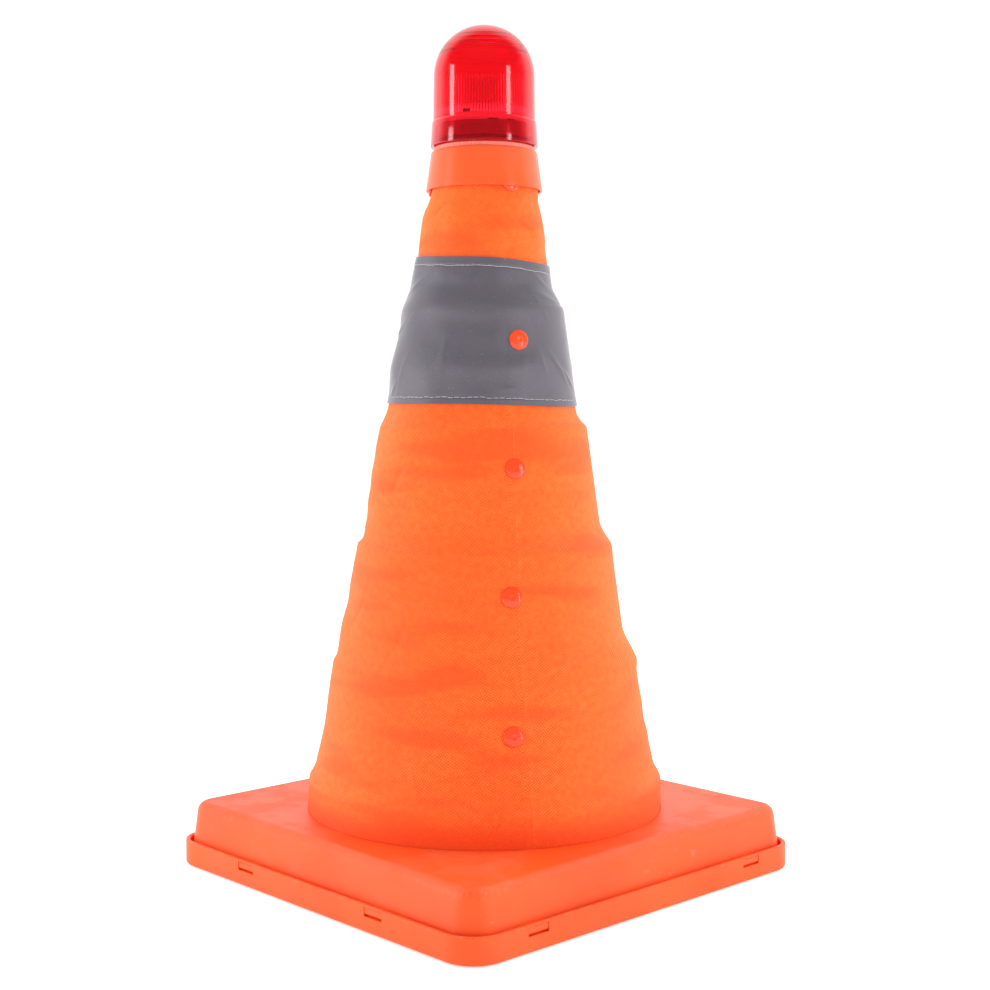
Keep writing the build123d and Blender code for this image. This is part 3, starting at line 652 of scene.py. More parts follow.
def moulded(name, colour, roughness, grain=1400.0, depth=0.00004, edge=None, corner=(0.0, 0.01), worn=1.0, shine=0.5):
    """Moulded plastic: grain, flow marks, a worn edge at a height, scratches and dust."""
    made, shader, place = material(name)
    colour = np.array(colour)
    skin = use_group("Moulded grain", place, Grain=grain)
    shade = blend(skin["Tone"], colour * (0.93, 0.88, 0.86), colour * (1.0, 1.08, 1.1))
    height, width = (0.0, MM) if edge is None else (edge[0] * MM, edge[1] * MM)
    wear = use_group("Edge wear", place, Height=height, Width=width, Corner_start=corner[0], Corner_end=corner[1])
    pale = np.clip(colour * 0.75 + 0.25, 0, 1)
    if edge is not None:
        shade = blend(wear["Edge"], shade, pale, 0.22 * worn)
    shade = blend(wear["Scratch"], shade, pale, 0.16 * worn)
    dust = use_group("Dust", place)["Dust"]
    shade = blend(dust, shade, (0.62, 0.50, 0.42), 0.08 * worn)
    rough = ramp(skin["Sheen patch"], 0.0, 1.0, roughness - 0.05, roughness + 0.06)
    fill(shader, Base_Color=shade, Roughness=dust * 0.12 + rough, IOR=PLASTIC_IOR, Specular_IOR_Level=shine)
    bump(shader, skin["Height"], 0.35, depth)
    return made


def metal(name, colour, roughness):
    """Plated metal with a fine brushed tone."""
    made, shader, place = material(name)
    skin = use_group("Moulded grain", place, Grain=600.0, Flow=60.0)
    colour = np.array(colour)
    rough = ramp(skin["Sheen patch"], 0.0, 1.0, roughness - 0.06, roughness + 0.08)
    fill(shader, Base_Color=blend(skin["Tone"], colour * 0.85, colour), Roughness=rough, Metallic=1.0)
    bump(shader, skin["Height"], 0.2, 0.00002)
    return made


def cover_material(colours):
    """Fluorescent cover cloth: woven threads with painted shade in their hollows, soft crumples, a fading tone,
    level bands of painted fold shade and a hem darkened by painted shade.
    """
    made, shader, place = material("cover cloth")
    weave = use_group("Basket weave", flat_place(place), Pitch=bpy.context.scene.cone_sizes.weave_pitch)
    cloth, deep = np.array(colours.cloth), np.array(colours.cloth_deep)
    # The weave's tone paints shade into the hollows between threads: darker and redder there, paler on the thread
    # tops.
    shade = blend(ramp(weave["Tone"], 0.15, 0.85), cloth * (0.88, 0.45, 0.20), cloth * (1.0, 1.50, 1.7))
    shade = blend(ramp(noise(place, 11.0, 3.0), 0.35, 0.68), shade, deep, 0.35)
    # Painted shade: soft level bands, darker and redder, standing in for the shade of shallow folds.
    painted_fold_shade = ramp(noise(stretched(place, (11.0, 11.0, 62.0)), 1.0, 1.0), 0.50, 0.68)
    shade = blend(painted_fold_shade, shade, deep * (1.0, 0.9, 0.6), 0.6)
    # Painted shade: below 54 mm the cloth turns darker and redder, fully so at 43 mm. This stands in for the shade
    # where it curves in above the base.
    shade = blend(ramp(split(place)[2], 0.054, 0.043), shade, colours.cloth_hem, 0.75)
    shade = blend(use_group("Dust", place)["Dust"], shade, (0.75, 0.55, 0.42), 0.08)
    fill(shader, Base_Color=shade, Roughness=ramp(weave["Tone"], 0.0, 1.0, 0.78, 0.62), Specular_IOR_Level=0.28,
         Sheen_Weight=0.18, Sheen_Roughness=0.45, Sheen_Tint=(1.0, 0.60, 0.25))
    soft = bump(shader, use_group("Cloth crumple", place, Size=34.0)["Height"], 0.35, 0.0012)
    bump(shader, weave["Height"], 0.8, 0.00014, Normal=soft)
    return made


def band_material(colours):
    """Retroreflective band: grey bead film on cloth, with painted bead glints, rubbed patches and a soft gloss."""
    made, shader, place = material("reflective cloth")
    flat = flat_place(place)
    beads = use_group("Glass beads", flat)
    grey = np.array(colours.band)
    # The weave's tone paints a faint shade into the hollows between the band's threads.
    shade = blend(use_group("Basket weave", flat, Pitch=0.0009)["Tone"], grey * 0.88, grey * 1.12)
    shade = blend(beads["Rubbed"], shade, grey * 1.25, 0.3)
    # Painted glints: bright cells of the glass beads, standing in for their sparkle in the light.
    shade = blend(beads["Sparkle"], shade, (0.62, 0.62, 0.66), 0.8)
    fill(shader, Base_Color=shade, Roughness=ramp(beads["Rubbed"], 0.0, 1.0, 0.52, 0.62), Metallic=0.12,
         Sheen_Weight=0.6, Sheen_Roughness=0.28)
    soft = bump(shader, use_group("Cloth crumple", place, Size=60.0)["Height"], 0.22, 0.0012)
    bump(shader, beads["Height"], 0.25, 0.00004, Normal=soft)
    return made


def two_tone(made, shader, mask, first, second, strength, distance, **sockets):
    """Finishes a material with two tones mixed by a mask, a bump from the mask, and other sockets' values."""
    fill(shader, Base_Color=blend(mask, first, second), **sockets)
    bump(shader, mask, strength, distance)
    return made


def thread_material(name, colour):
    """Sewing thread: a twisted tone along each stitch."""
    made, shader, place = material(name)
    twist = ramp(noise(place, 1500.0), 0.35, 0.65)
    return two_tone(made, shader, twist, np.array(colour) * 0.8, np.array(colour), 0.4, 0.00005, Roughness=0.6)


def lens_material(colours):
    """Clear red lens plastic, glossy, with faint moulding haze. Its tint is deeper where the wall is thicker: along
    the flutes, by the size of a sine of the azimuth, and along the dome's rings, by a cosine of the climb."""
    made, shader, place = material("lens plastic")
    red = np.array(colours.lens)
    haze = ramp(noise(place, 60.0, 4.0), 0.35, 0.7)
    x, y, z = split(place)
    turn = maths("ARCTAN2", y, x) * (bpy.context.scene.cone_sizes.flutes / 2)
    flute = ramp(maths("ABSOLUTE", maths("SINE", turn)), 0.25, 0.95)
    foot, spring = foot_of("lens") * MM, (top_of("lens") - LENS_RADIUS) * MM
    upright = ramp(z, foot + 0.019, foot + 0.024) * ramp(z, spring + 0.006, spring - 0.002)
    climb = maths("ARCTAN2", z - spring, maths("SQRT", x * x + y * y))
    wave = maths("COSINE", climb * RING_RATE) * 0.5 + 0.5
    low, high = RING_SPAN
    ring = ramp(wave, 0.25, 0.95) * ramp(climb, low - 0.06, low + 0.06) * ramp(climb, high + 0.06, high - 0.06)
    clear = blend(haze, red, red * (1.0, 0.85, 0.85))
    shade = blend(flute * upright * 0.45 + ring * 0.8, clear, red * (0.76, 0.30, 0.40))
    fill(shader, Base_Color=shade, Roughness=ramp(haze, 0.0, 1.0, 0.09, 0.14), Transmission_Weight=0.89,
         IOR=PLASTIC_IOR)
    return made


def reflector_material():
    """Metallised film: bright, a little wavy, with a faint painted glow standing in for light through the lens."""
    made, shader, place = material("reflector film")
    wave = noise(place, 120.0)
    return two_tone(made, shader, wave, (0.80, 0.81, 0.83), (0.92, 0.92, 0.93), 0.2, 0.0002, Metallic=0.4,
                    Roughness=ramp(wave, 0.3, 0.7, 0.10, 0.2), Emission_Color=PAINTED_INNER_LIGHT, Emission_Strength=0.6)


def board_material():
    """White solder mask with traces: a stepped wave for copper runs under the mask. A faint painted glow stands
    in for the light reaching it through the lens.
    """
    made, shader, place = material("board laminate")
    wave = fill(node(place.tree, "ShaderNodeTexWave", wave_type="RINGS", rings_direction="Z"), Vector=place,
                Scale=90.0, Distortion=1.5)
    run = ramp(Value(wave.outputs["Fac"]), 0.55, 0.62)
    return two_tone(made, shader, run, (0.82, 0.83, 0.80), (0.68, 0.72, 0.66), 0.3, 0.00005, Roughness=0.35,
                    Emission_Color=PAINTED_INNER_LIGHT, Emission_Strength=0.5)


def jacket_material():
    """Battery jacket: a printed two-tone wrap with no lettering, split at one height."""
    made, shader, place = material("cell jacket")
    low = foot_of("battery_cells") * MM
    speck = noise(place, 900.0)
    dark = blend(speck, (0.02, 0.02, 0.024), (0.04, 0.04, 0.045))
    shade = blend(ramp(split(place)[2], low + 0.030, low + 0.0302), dark, (0.62, 0.44, 0.22))
    fill(shader, Base_Color=shade, Roughness=0.28, Metallic=0.2)
    bump(shader, speck, 0.1, 0.00002)
    return made


def led_material():
    """Clear red LED epoxy with a slight internal haze."""
    made, shader, place = material("LED epoxy")
    return two_tone(made, shader, noise(place, 500.0), (0.95, 0.30, 0.28), (0.98, 0.42, 0.40), 0.1, 0.00002,
                    Roughness=0.08, Transmission_Weight=0.7, IOR=1.5)


def dress(finish, *names):
    """Gives CAD nodes or new pieces a finish."""
    for name in names:
        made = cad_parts.get(name) or bpy.data.objects[name]
        made.data.materials.clear()
        made.data.materials.append(finish)


# ---- properties


def colour_property(name, description, default):
    """A colour a user may change."""
    return bpy.props.FloatVectorProperty(
        name=name, description=description, default=default, subtype="COLOR", size=3, min=0.0, max=1.0
    )


def length_property(name, description, default, low, high):
    """A length a user may change."""
    return bpy.props.FloatProperty(
        name=name, description=description, default=default, min=low, max=high, subtype="DISTANCE", unit="LENGTH",
        precision=5,
    )


def count_property(name, description, default, low, high):
    """A number of like things that a user may change."""
    return bpy.props.IntProperty(name=name, description=description, default=default, min=low, max=high)


class ConeSizes(bpy.types.PropertyGroup):
    """Sizes that the CAD frame leaves open."""

    cloth: length_property("Cloth thickness", "Thickness of the cover cloth", 0.0005, 0.0002, 0.001)
    band_cloth: length_property("Band thickness", "Thickness of the reflective band", 0.00035, 0.0002, 0.001)
    weave_pitch: length_property("Weave pitch", "Distance between neighbouring threads", 0.00125, 0.0003, 0.004)
    columns: count_property("Columns", "Points round the cover", 480, 96, 720)
    row_step: length_property("Row step", "Height between the cover's rows of points", 0.0014, 0.0005, 0.01)
    stitch: length_property("Stitch length", "Length of one stitch with its gap", 0.0034, 0.001, 0.01)
    flutes: count_property("Lens flutes", "Flutes inside the lens", 104, 12, 240)
    neck_ribs: count_property("Neck ribs", "Ribs round the collar's neck", 84, 12, 200)


class ConeColours(bpy.types.PropertyGroup):
    """Colours of the visible finishes."""

    cloth: colour_property("Cloth", "Fluorescent cover cloth", (0.95, 0.131, 0.0125))
    cloth_deep: colour_property("Cloth, deep", "Deeper tone of the cover cloth", (0.93, 0.080, 0.0085))
    # The hem colour is painted shade: darker and redder, where the cloth curves in above the base.
    cloth_hem: colour_property("Cloth hem", "Doubled cloth at the hem", (0.95, 0.068, 0.0085))
    band: colour_property("Band", "Reflective band", (0.112, 0.102, 0.124))
    base: colour_property("Base", "Moulded base", (0.95, 0.096, 0.012))
    sleeve: colour_property("Sleeves", "Inner sleeves and base ring", (0.85, 0.16, 0.04))
    rivet: colour_property("Rivets", "Snap rivets", (0.95, 0.068, 0.015))
    collar: colour_property("Collar", "Top collar", (0.95, 0.094, 0.018))
    lamp: colour_property("Lamp base", "Dark red lamp base", (0.34, 0.003, 0.004))
    lens: colour_property("Lens", "Tint of the lens", (0.95, 0.022, 0.046))
    thread: colour_property("Thread", "Pale sewing thread", (0.50, 0.47, 0.50))


# ---- operators


# Each span of the cover, with its joint's two bodies and where the bend starts and ends above its lip:
BENDS = {
    1: ("base", "stage_1", 8.0, 34.0),
    2: ("stage_1", "stage_2", 14.0, 40.0),
    3: ("stage_2", "stage_3", 14.0, 41.0),
    4: ("stage_3", "stage_4", 16.0, 44.0),
    5: ("stage_4", "head", 20.0, 52.0),
}


def settle(made, finish, body, node_name=None):
    """Gives a new piece its finish and hides the CAD node it stands for. A piece given a body is hung on that
    body's empty; a span's number in place of a body only bakes the piece's placement into its mesh."""
    dress(finish, made.name)
    if node_name:
        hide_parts(node_name)
    if body in BENDS:
        lip = LIP_HEIGHTS[body - 1]
        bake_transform(made)
    else:
        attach(made, body)


def cut_size(low, high):
    """Width, length and area of a strip of the cover laid flat: its foot's length, its slant, and their mean strip."""
    foot, top = np.interp(low, *PROFILE), np.interp(high, *PROFILE)
    slant = math.hypot(high - low, foot - top)
    width = 2 * math.pi * max(foot, top)
    return (width * MM, slant * MM), math.pi * (foot + top) * slant * MM * MM


class CONE_OT_groups(bpy.types.Operator):
    """Build the shader groups that several finishes share"""

    bl_idname = "cone.groups"
    bl_label = "Shader groups"

    def execute(self, context):
        make_weave_group()
        make_crumple_group()
        make_grain_group()
        make_wear_group()
        make_dust_group()
        make_bead_group()
        return {"FINISHED"}


class CONE_OT_cover(bpy.types.Operator):
    """Make the cover's hem and its five orange panels"""

    bl_idname = "cone.cover"
    bl_label = "Cover"

    def execute(self, context):
        sizes = context.scene.cone_sizes
        finish = cover_material(context.scene.cone_colours)
        lips = LIP_HEIGHTS
        plan = [
            ("hem", COVER_FOOT, lips[0], "base", ["base_ring", "base_shell"]),
            ("panel_1", lips[0], lips[1], 1, ["sleeve_1", "base_ring"]),
            ("panel_2", lips[1], lips[2], 2, ["sleeve_2", "sleeve_1"]),
            ("panel_3", lips[2], lips[3], 3, ["sleeve_3", "sleeve_2"]),
            ("panel_4", lips[3], BAND_FOOT + UNDER_FOOT, 4, ["sleeve_4", "sleeve_3"]),
            ("panel_5", BAND_TOP - UNDER_TOP, COVER_TOP, 5, ["sleeve_5"]),
        ]
        for name, low, high, body, rests in plan:
            rows = max(6, int(round((high - low) / (sizes.row_step / MM))) + 1)
            made = cloth_tube("cloth_" + name, level(low), level(high), cover_radius, sizes.cloth / MM, rows,
                              sizes.columns)
            settle(made, finish, body, "cover_" + name)
            flat, area = cut_size(low, high)
        return {"FINISHED"}


class CONE_OT_band(bpy.types.Operator):
    """Make the reflective band in two parts, with its two rows of stitches"""

    bl_idname = "cone.band"
    bl_label = "Reflective band"

    def execute(self, context):
        sizes = context.scene.cone_sizes
        colours = context.scene.cone_colours
        finish = band_material(colours)
        thread = thread_material("pale thread", colours.thread)
        thickness = sizes.band_cloth / MM
        split_height = LIP_HEIGHTS[4]

        def under(theta, z):
            """The cover's radius, where the band keeps a fifth of the seam's rise."""
            return cover_radius(theta, z) - 0.8 * seam_rise(theta, z)

        def outside(theta, z):
            """The radius under the band, with its thickness and lift. On the front the stiffer band rounds off the
            lip: there it takes the mean of the radius over 10 mm of height."""
            at = under(theta, z)
            mean = sum(under(theta, z + step) for step in (-5, -2.5, 0, 2.5, 5)) / 5
            near = np.exp(-(((z - split_height - 1.0) / 7.0) ** 2))
            facing = np.clip(np.cos(theta - FRONT), 0, 1) ** 0.8
            rounded = facing * near * (mean - at + 1.1)
            return at + 0.5 * (rounded + np.sqrt(rounded ** 2 + 0.01)) + band_lift(theta, z) + thickness

        parts = [
            ("lower", band_foot_at, level(split_height), 4, lambda theta: band_foot_at(theta) + FOOT_HEM),
            ("upper", level(split_height), band_top_at, 5, lambda theta: band_top_at(theta) - TOP_HEM),
        ]
        for name, low, high, span, line in parts:
            tall = abs(float(high(np.array([0.0]))[0] - low(np.array([0.0]))[0]))
            rows = int(tall / (sizes.row_step / MM) * 1.8) + 2
            made = cloth_tube("band_" + name, low, high, outside, thickness, rows, sizes.columns)
            ends = [float(np.mean(edge(np.linspace(0, 6.28, 90)))) for edge in (low, high)]
            middle = float(np.mean(np.interp(ends, *PROFILE)))
            count = int(2 * math.pi * middle / (sizes.stitch / MM))
            theta = SEAM + 0.03 + np.linspace(0, 2 * math.pi, count, endpoint=False)
            jitter = np.random.default_rng(7 + span).normal(0, 0.14, count)
            at, along, out = stitch_frames(theta, line(theta) + jitter, outside)
            sewn = capsules(f"stitches_{name}", at + out * 0.20, along, out, 0.98 * sizes.stitch / MM, 0.20)
            settle(made, finish, span, "reflective_band_" + name)
            settle(sewn, thread, span)
            flat, area = cut_size(*ends)
        return {"FINISHED"}


class CONE_OT_seam(bpy.types.Operator):
    """Sew the cover's upright seam, one part to each span"""

    bl_idname = "cone.seam"
    bl_label = "Seam stitches"

    def execute(self, context):
        finish = thread_material("orange thread", np.array(context.scene.cone_colours.cloth) * (1.0, 1.5, 2.2))
        pitch = context.scene.cone_sizes.stitch / MM * 0.8
        ends = [COVER_FOOT + 12.0, *LIP_HEIGHTS[:4], BAND_FOOT - 2.0]
        for k in range(5):
            z = np.arange(ends[k] + pitch / 2, ends[k + 1] - pitch / 2, pitch)
            theta = seam_at(z) + 2.3 / np.interp(z, *PROFILE)
            at, along, out = stitch_frames(theta, z, cover_radius)
            sewn = capsules(f"seam_stitches_{k}", at + out * 0.02, along, out, 0.7 * pitch, 0.16)
            settle(sewn, finish, k or "base")
        return {"FINISHED"}


class CONE_OT_rivets(bpy.types.Operator):
    """Make five rows of snap rivets, domed with a small raised ring"""

    bl_idname = "cone.rivets"
    bl_label = "Rivets"

    def execute(self, context):
        finish = moulded("rivet plastic", context.scene.cone_colours.rivet, 0.20, grain=2600.0, depth=0.00001,
                         worn=0.2, shine=0.4)
        head, rise, rim = 5.85, 2.35, 0.55
        outline = [(0.02, -3.5), (1.6, -3.5), (2.4, -3.1), (2.9, -2.6), (2.9, -2.15), (1.9, -1.7), (1.85, 0.0),
                   (head - 0.35, 0.0), (head - 0.08, 0.1), (head, rim * 0.7)]
        for t in np.linspace(0, 1, 26):
            r = (head - 0.12) * math.cos(t * math.pi / 2) ** 0.9
            h = rim + (rise - rim) * math.sqrt(max(1 - (r / head) ** 2.4, 0))
            ring = 0.10 * math.exp(-(((r - 1.9) / 0.45) ** 2)) - 0.16 * math.exp(-((r / 1.0) ** 2))
            outline.append((max(r, 0.02), h + ring))
        profile = np.array(outline)
        columns = 48
        turn = np.linspace(0, 2 * math.pi, columns, endpoint=False)
        flat = round_z(profile[:, :1], profile[:, 1:], turn).reshape(-1, 3)
        quads = grid_faces(len(profile), columns)
        for k, (height, first) in enumerate(RIVET_ROWS, start=1):
            slope = TOP_SLEEVE_SLOPE if k == 5 else SLEEVE_SLOPE
            radius = float(cling(np.array(height)))
            points = []
            for a in first + np.arange(RIVET_COUNT) * 2 * math.pi / RIVET_COUNT:
                out = np.array([math.cos(a), math.sin(a), slope]) / math.hypot(1, slope)
                side = np.array([-math.sin(a), math.cos(a), 0.0])
                centre = round_z(radius, height, a) + out * 0.04
                points.append(centre + flat @ np.stack([side, np.cross(out, side), out]))
            faces = np.concatenate([quads + j * len(flat) for j in range(RIVET_COUNT)])
            made = new_mesh(f"rivet_row_{k}", np.concatenate(points), faces)
            made.data.set_sharp_from_angle(angle=math.radians(65))
            settle(made, finish, "head" if k == 5 else f"stage_{k}", f"rivets_{k}")
        return {"FINISHED"}


class CONE_OT_lens(bpy.types.Operator):
    """Make the lens: a stepped dome with flutes and rings inside"""

    bl_idname = "cone.lens"
    bl_label = "Lens"

    def execute(self, context):
        count = context.scene.cone_sizes.flutes
        foot, top = foot_of("lens"), top_of("lens")
        outer, inner = LENS_RADIUS, LENS_RADIUS - 2.1
        spring, step = top - outer, foot + 15.4
        rim = [(31.75, foot), (31.9, foot + 0.2), (31.85, foot + 1.4), (31.2, foot + 13.6), (31.0, foot + 14.2),
               (30.75, foot + 14.5), (30.45, foot + 14.8), (30.40, step)]
        wall = [(30.40 - 0.4 * t, step + (spring - step) * t) for t in np.linspace(0.08, 1, 12)]
        dome = [(outer * math.cos(a), spring + outer * math.sin(a)) for a in np.linspace(0, math.pi / 2, 40)[1:-1]]
        cap = [(0.02, top), (0.02, top - 2.1)]
        for a in np.linspace(math.pi / 2, 0, 72)[1:-1]:
            wave = 0.60 * math.exp(-(((math.degrees(a) - 38) / 13) ** 4)) * math.cos(a * RING_RATE)
            cap.append(((inner - wave) * math.cos(a), spring + (inner - wave) * math.sin(a)))
        down = [(inner + 0.4 * t, spring - (spring - foot - 16.4) * t) for t in np.linspace(0, 1, 16)]
        skirt = [(28.4, foot + 16.4), (29.25, foot + 16.35), (29.3, foot + 16.2), (29.3, foot + 0.2), (29.45, foot)]
        start = len(rim + wall + dome + cap)
        share = np.zeros(start + len(down + skirt))
        fade = np.linspace(0, 4, len(down)), np.linspace(6, 0.6, len(down))
        share[start:start + len(down)] = np.clip(fade[0], 0, 1) * np.clip(fade[1], 0, 1)

        def flutes(theta, row):
            """Rounded flutes: four fifths of a millimetre times a half less the size of a sine."""
            return 0.80 * (0.5 - np.abs(np.sin(theta * count / 2))) * share[row]

        made = turned("lens_shell", rim + wall + dome + cap + down + skirt, count * 6, flutes)
        settle(made, lens_material(context.scene.cone_colours), "lamp_top", "lens")

        # A small lug inside the wall, in the lens's bayonet.
        turn = math.radians(-154) + np.linspace(-2.1, 2.1, 7) / 27.6
        radii = np.array([[26.9], [28.15], [28.15], [26.9]])
        heights = foot + np.array([[16.6], [16.6], [18.3], [18.3]])
        sides = grid_faces(4, len(turn), close_rows=True, close_columns=False)
        first = np.array([[0, 3, 2, 1]]) * len(turn)
        faces = np.concatenate([sides, first, first[:, ::-1] + len(turn) - 1])
        lug = new_mesh("lens_lug", round_z(radii, heights, turn), faces, smooth=False)
        settle(lug, moulded("lug plastic", (0.10, 0.008, 0.010), 0.4), "lamp_top")
        return {"FINISHED"}


class CONE_OT_collar(bpy.types.Operator):
    """Finish the collar and ring its neck with fine ribs"""

    bl_idname = "cone.collar"
    bl_label = "Collar"

    def execute(self, context):
        low, high = foot_of("top_collar"), top_of("top_collar")
        dress(moulded("collar plastic", context.scene.cone_colours.collar, 0.34, grain=1800.0, depth=0.00002,
                      edge=(low + 0.4, 0.7), corner=(0.02, 0.05), shine=0.34), "top_collar")
        ribs = context.scene.cone_sizes.neck_ribs
        foot, top, reach = high - 2.45, high - 0.35, 29.62
        profile = [(reach, foot), (reach + 0.30, foot + 0.15), (reach + 0.34, foot + 0.9), (reach + 0.16, foot + 1.2),
                   (reach + 0.34, foot + 1.5), (reach + 0.30, top - 0.1), (reach, top)]

        def knurl(theta, row):
            """Ribs: a steep wave round the ring, deeper on its outer rows, fading and returning round the neck."""
            deep = np.where((row > 0) & (row < 6), 0.16, 0.0)
            return deep * np.tanh(2.5 * np.sin(theta * ribs)) * (0.75 + 0.25 * np.cos(5 * theta))

        # The neck is painted paler pink than the collar: a painted highlight and reflection standing in for its glossy
        # rim catching the white surround and the red lens.
        finish = moulded("neck plastic with painted highlight", (0.94, 0.22, 0.17), 0.3, grain=2400.0, depth=0.00002)
        settle(turned("neck_ribs", profile, ribs * 8, knurl), finish, "head")
        return {"FINISHED"}


class CONE_OT_base(bpy.types.Operator):
    """Finish the base's tray, shell and ring and the five sleeves"""

    bl_idname = "cone.base"
    bl_label = "Base and sleeves"

    def execute(self, context):
        colours = context.scene.cone_colours
        tray_edge, shell_edge = (top_of("base_tray") - 0.3, 0.7), (top_of("base_shell") - 3.0, 2.0)
        dress(moulded("tray plastic", colours.base, 0.48, edge=tray_edge, corner=(0.15, 0.25), shine=0.3), "base_tray")
        dress(moulded("shell plastic", np.array(colours.base) * (1.0, 0.97, 0.97), 0.47, edge=shell_edge,
                      corner=(0.20, 0.25), shine=0.32), "base_shell")
        dress(moulded("sleeve plastic", colours.sleeve, 0.42), "base_ring", *[f"sleeve_{k}" for k in range(1, 6)])
        return {"FINISHED"}


class CONE_OT_lamp(bpy.types.Operator):
    """Finish the lamp's base, its seal and everything inside it"""

    bl_idname = "cone.lamp"
    bl_label = "Lamp parts"

    def execute(self, context):
        dress(moulded("lamp plastic", context.scene.cone_colours.lamp, 0.32), "lamp_base")
        dress(moulded("seal rubber", (0.018, 0.017, 0.017), 0.62, grain=2200.0), "lens_seal")
        dress(moulded("holder plastic", (0.72, 0.71, 0.68), 0.45), "battery_holder")
        dress(moulded("chip plastic", (0.02, 0.02, 0.022), 0.4), "driver_parts")
        dress(metal("screw steel", (0.62, 0.61, 0.60), 0.3), "base_ring_screws", "lamp_screws")
        dress(metal("contact metal", (0.80, 0.72, 0.52), 0.28), "cell_bridge", "head_contacts")
        dress(reflector_material(), "reflector")
        dress(board_material(), "led_board", "board_retainer")
        dress(led_material(), "leds")
        dress(jacket_material(), "battery_cells")
        return {"FINISHED"}


def make_floor():
    """A wide pale floor just under the base."""
    side = 40.0 / MM
    corners = [(-side, -side, -0.3), (side, -side, -0.3), (side, side, -0.3), (-side, side, -0.3)]
    floor = new_mesh("floor", corners, [[0, 1, 2, 3]], smooth=False)
    finish, shader, place = material("studio floor")
    shade = blend(noise(place, 3.0), (0.90, 0.90, 0.90), (0.92, 0.92, 0.92))
    fill(shader, Base_Color=shade, Roughness=0.9, Specular_IOR_Level=0.1, Emission_Color=(1.0, 1.0, 1.0),
         Emission_Strength=0.35)
    floor.data.materials.append(finish)


def make_world(scene):
    """A white surround, brighter behind the object than before it; gloss sees its front nearly dark."""
    scene.world = bpy.data.worlds.new("studio")
    scene.world.use_nodes = True
    sky = scene.world.node_tree
    behind = node(sky, "ShaderNodeVectorMath", operation="DOT_PRODUCT")
    put(behind.inputs[0], Value(node(sky, "ShaderNodeTexCoord").outputs["Generated"]))
    put(behind.inputs[1], (-math.cos(FRONT), -math.sin(FRONT), 0.0))
    back = ramp(Value(behind.outputs["Value"]), 0.05, 0.5)
    soft = back * (BACK_GLOW - FRONT_GLOW) + FRONT_GLOW
    mirror = back * (BACK_SHINE - FRONT_SHINE) + FRONT_SHINE
    rays = node(sky, "ShaderNodeLightPath").outputs
    glossy = Value(rays["Is Glossy Ray"])
    seen = maths("MAXIMUM", Value(rays["Is Camera Ray"]), Value(rays["Is Transmission Ray"]))
    lit = mirror * glossy + soft * (1.0 - glossy)
    fill(sky.nodes["Background"], Color=(1.0, 1.0, 1.0), Strength=lit * (1.0 - seen) + seen * 1.02)


def make_camera(scene):
    """The camera, level with the middle of the cone and facing a corner of its base."""
    camera = bpy.data.cameras.new("camera")
    camera.sensor_width, camera.lens = 36.0, 58.64
    camera.clip_start, camera.clip_end = 0.01, 200.0
    eye = bpy.data.objects.new("camera", camera)
    eye.location = (-0.6620, -0.7080, 0.28294)
    eye.rotation_euler = (math.radians(86.557), 0.0, math.radians(-43.456))
    scene.collection.objects.link(eye)
    scene.camera = eye


# Name, degrees from the front, height, distance, width, length, watts, and whether gloss shows it:
LIGHTS = (
    ("left softbox", -77, 0.34, 1.5, 0.30, 1.25, 8.0, True),
    ("left fill", -110, 0.60, 1.6, 1.0, 1.4, 11.0, False),
    ("right softbox", 56, 0.30, 1.5, 0.24, 1.15, 6.0, True),
    ("right fill", 108, 0.60, 1.6, 1.0, 1.4, 13.5, False),
    ("top softbox", 10, 2.0, 0.6, 2.2, 2.2, 10.0, False),
)


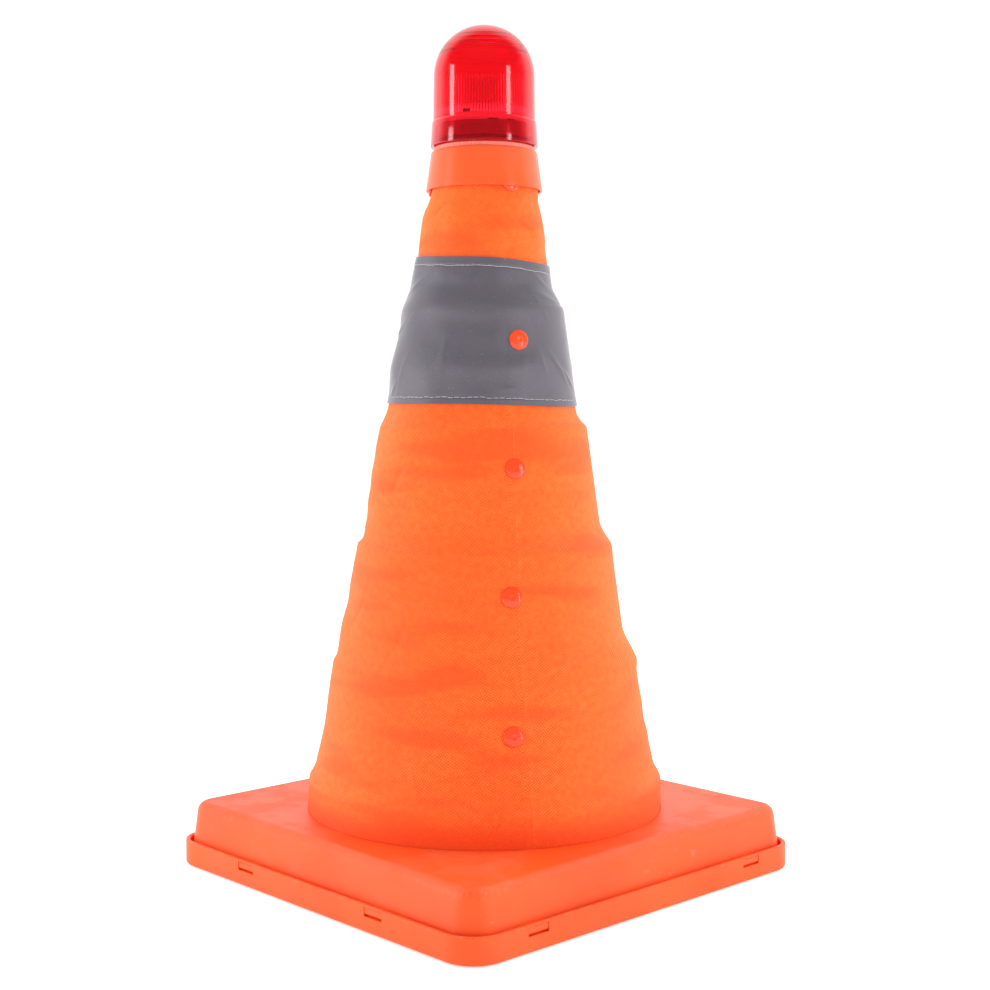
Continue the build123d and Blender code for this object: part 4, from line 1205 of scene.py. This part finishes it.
def make_light(scene, name, turn, rise, far, wide, tall, power, mirrored):
    """A softbox turned to the middle of the object, its width level."""
    lamp = bpy.data.lights.new(name, "AREA")
    lamp.shape, lamp.size, lamp.size_y, lamp.energy = "RECTANGLE", wide, tall, power
    thing = bpy.data.objects.new(name, lamp)
    place = round_z(far, rise, FRONT + math.radians(turn))
    aim = np.array([0.0, 0.0, 0.28]) - place
    aim /= np.linalg.norm(aim)
    across = np.cross(aim, (0, 0, 1.0))
    across /= np.linalg.norm(across)
    turned_to = np.stack([across, np.cross(across, aim), -aim], 1)
    thing.matrix_world = Matrix.Translation(place) @ Matrix(turned_to.tolist()).to_4x4()
    thing.visible_glossy = mirrored
    scene.collection.objects.link(thing)


class CONE_OT_stage(bpy.types.Operator):
    """Set the pale floor, the studio lights and the camera"""

    bl_idname = "cone.stage"
    bl_label = "Stage"

    def execute(self, context):
        scene = context.scene
        scene.view_settings.view_transform = "Standard"
        scene.view_settings.exposure = 0.17
        make_floor()
        make_world(scene)
        make_camera(scene)
        for light in LIGHTS:
            make_light(scene, *light)
        return {"FINISHED"}


STEPS = (
    CONE_OT_groups, CONE_OT_cover, CONE_OT_band, CONE_OT_seam, CONE_OT_rivets, CONE_OT_lens, CONE_OT_collar,
    CONE_OT_base, CONE_OT_lamp, CONE_OT_stage,
)


class CONE_PT_panel(bpy.types.Panel):
    """The cone's steps and properties"""

    bl_label = "Pop-up cone"
    bl_space_type = "VIEW_3D"
    bl_region_type = "UI"
    bl_category = "Cone"

    def draw(self, context):
        column = self.layout.column()
        for step in STEPS:
            column.operator(step.bl_idname)
        for group in (context.scene.cone_sizes, context.scene.cone_colours):
            for key in group.__annotations__:
                column.prop(group, key)


CLASSES = (ConeSizes, ConeColours, *STEPS, CONE_PT_panel)


def register():
    """Register the classes and hang the properties on the scene."""
    for item in CLASSES:
        bpy.utils.register_class(item)
    bpy.types.Scene.cone_sizes = bpy.props.PointerProperty(type=ConeSizes)
    bpy.types.Scene.cone_colours = bpy.props.PointerProperty(type=ConeColours)


def unregister():
    """Take the properties and classes away again."""
    del bpy.types.Scene.cone_colours
    del bpy.types.Scene.cone_sizes
    for item in reversed(CLASSES):
        bpy.utils.unregister_class(item)


def main():
    """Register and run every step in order."""
    register()
    for step in STEPS:
        group, name = step.bl_idname.split(".")
        getattr(getattr(bpy.ops, group), name)()


if __name__ == "__main__":
    main()
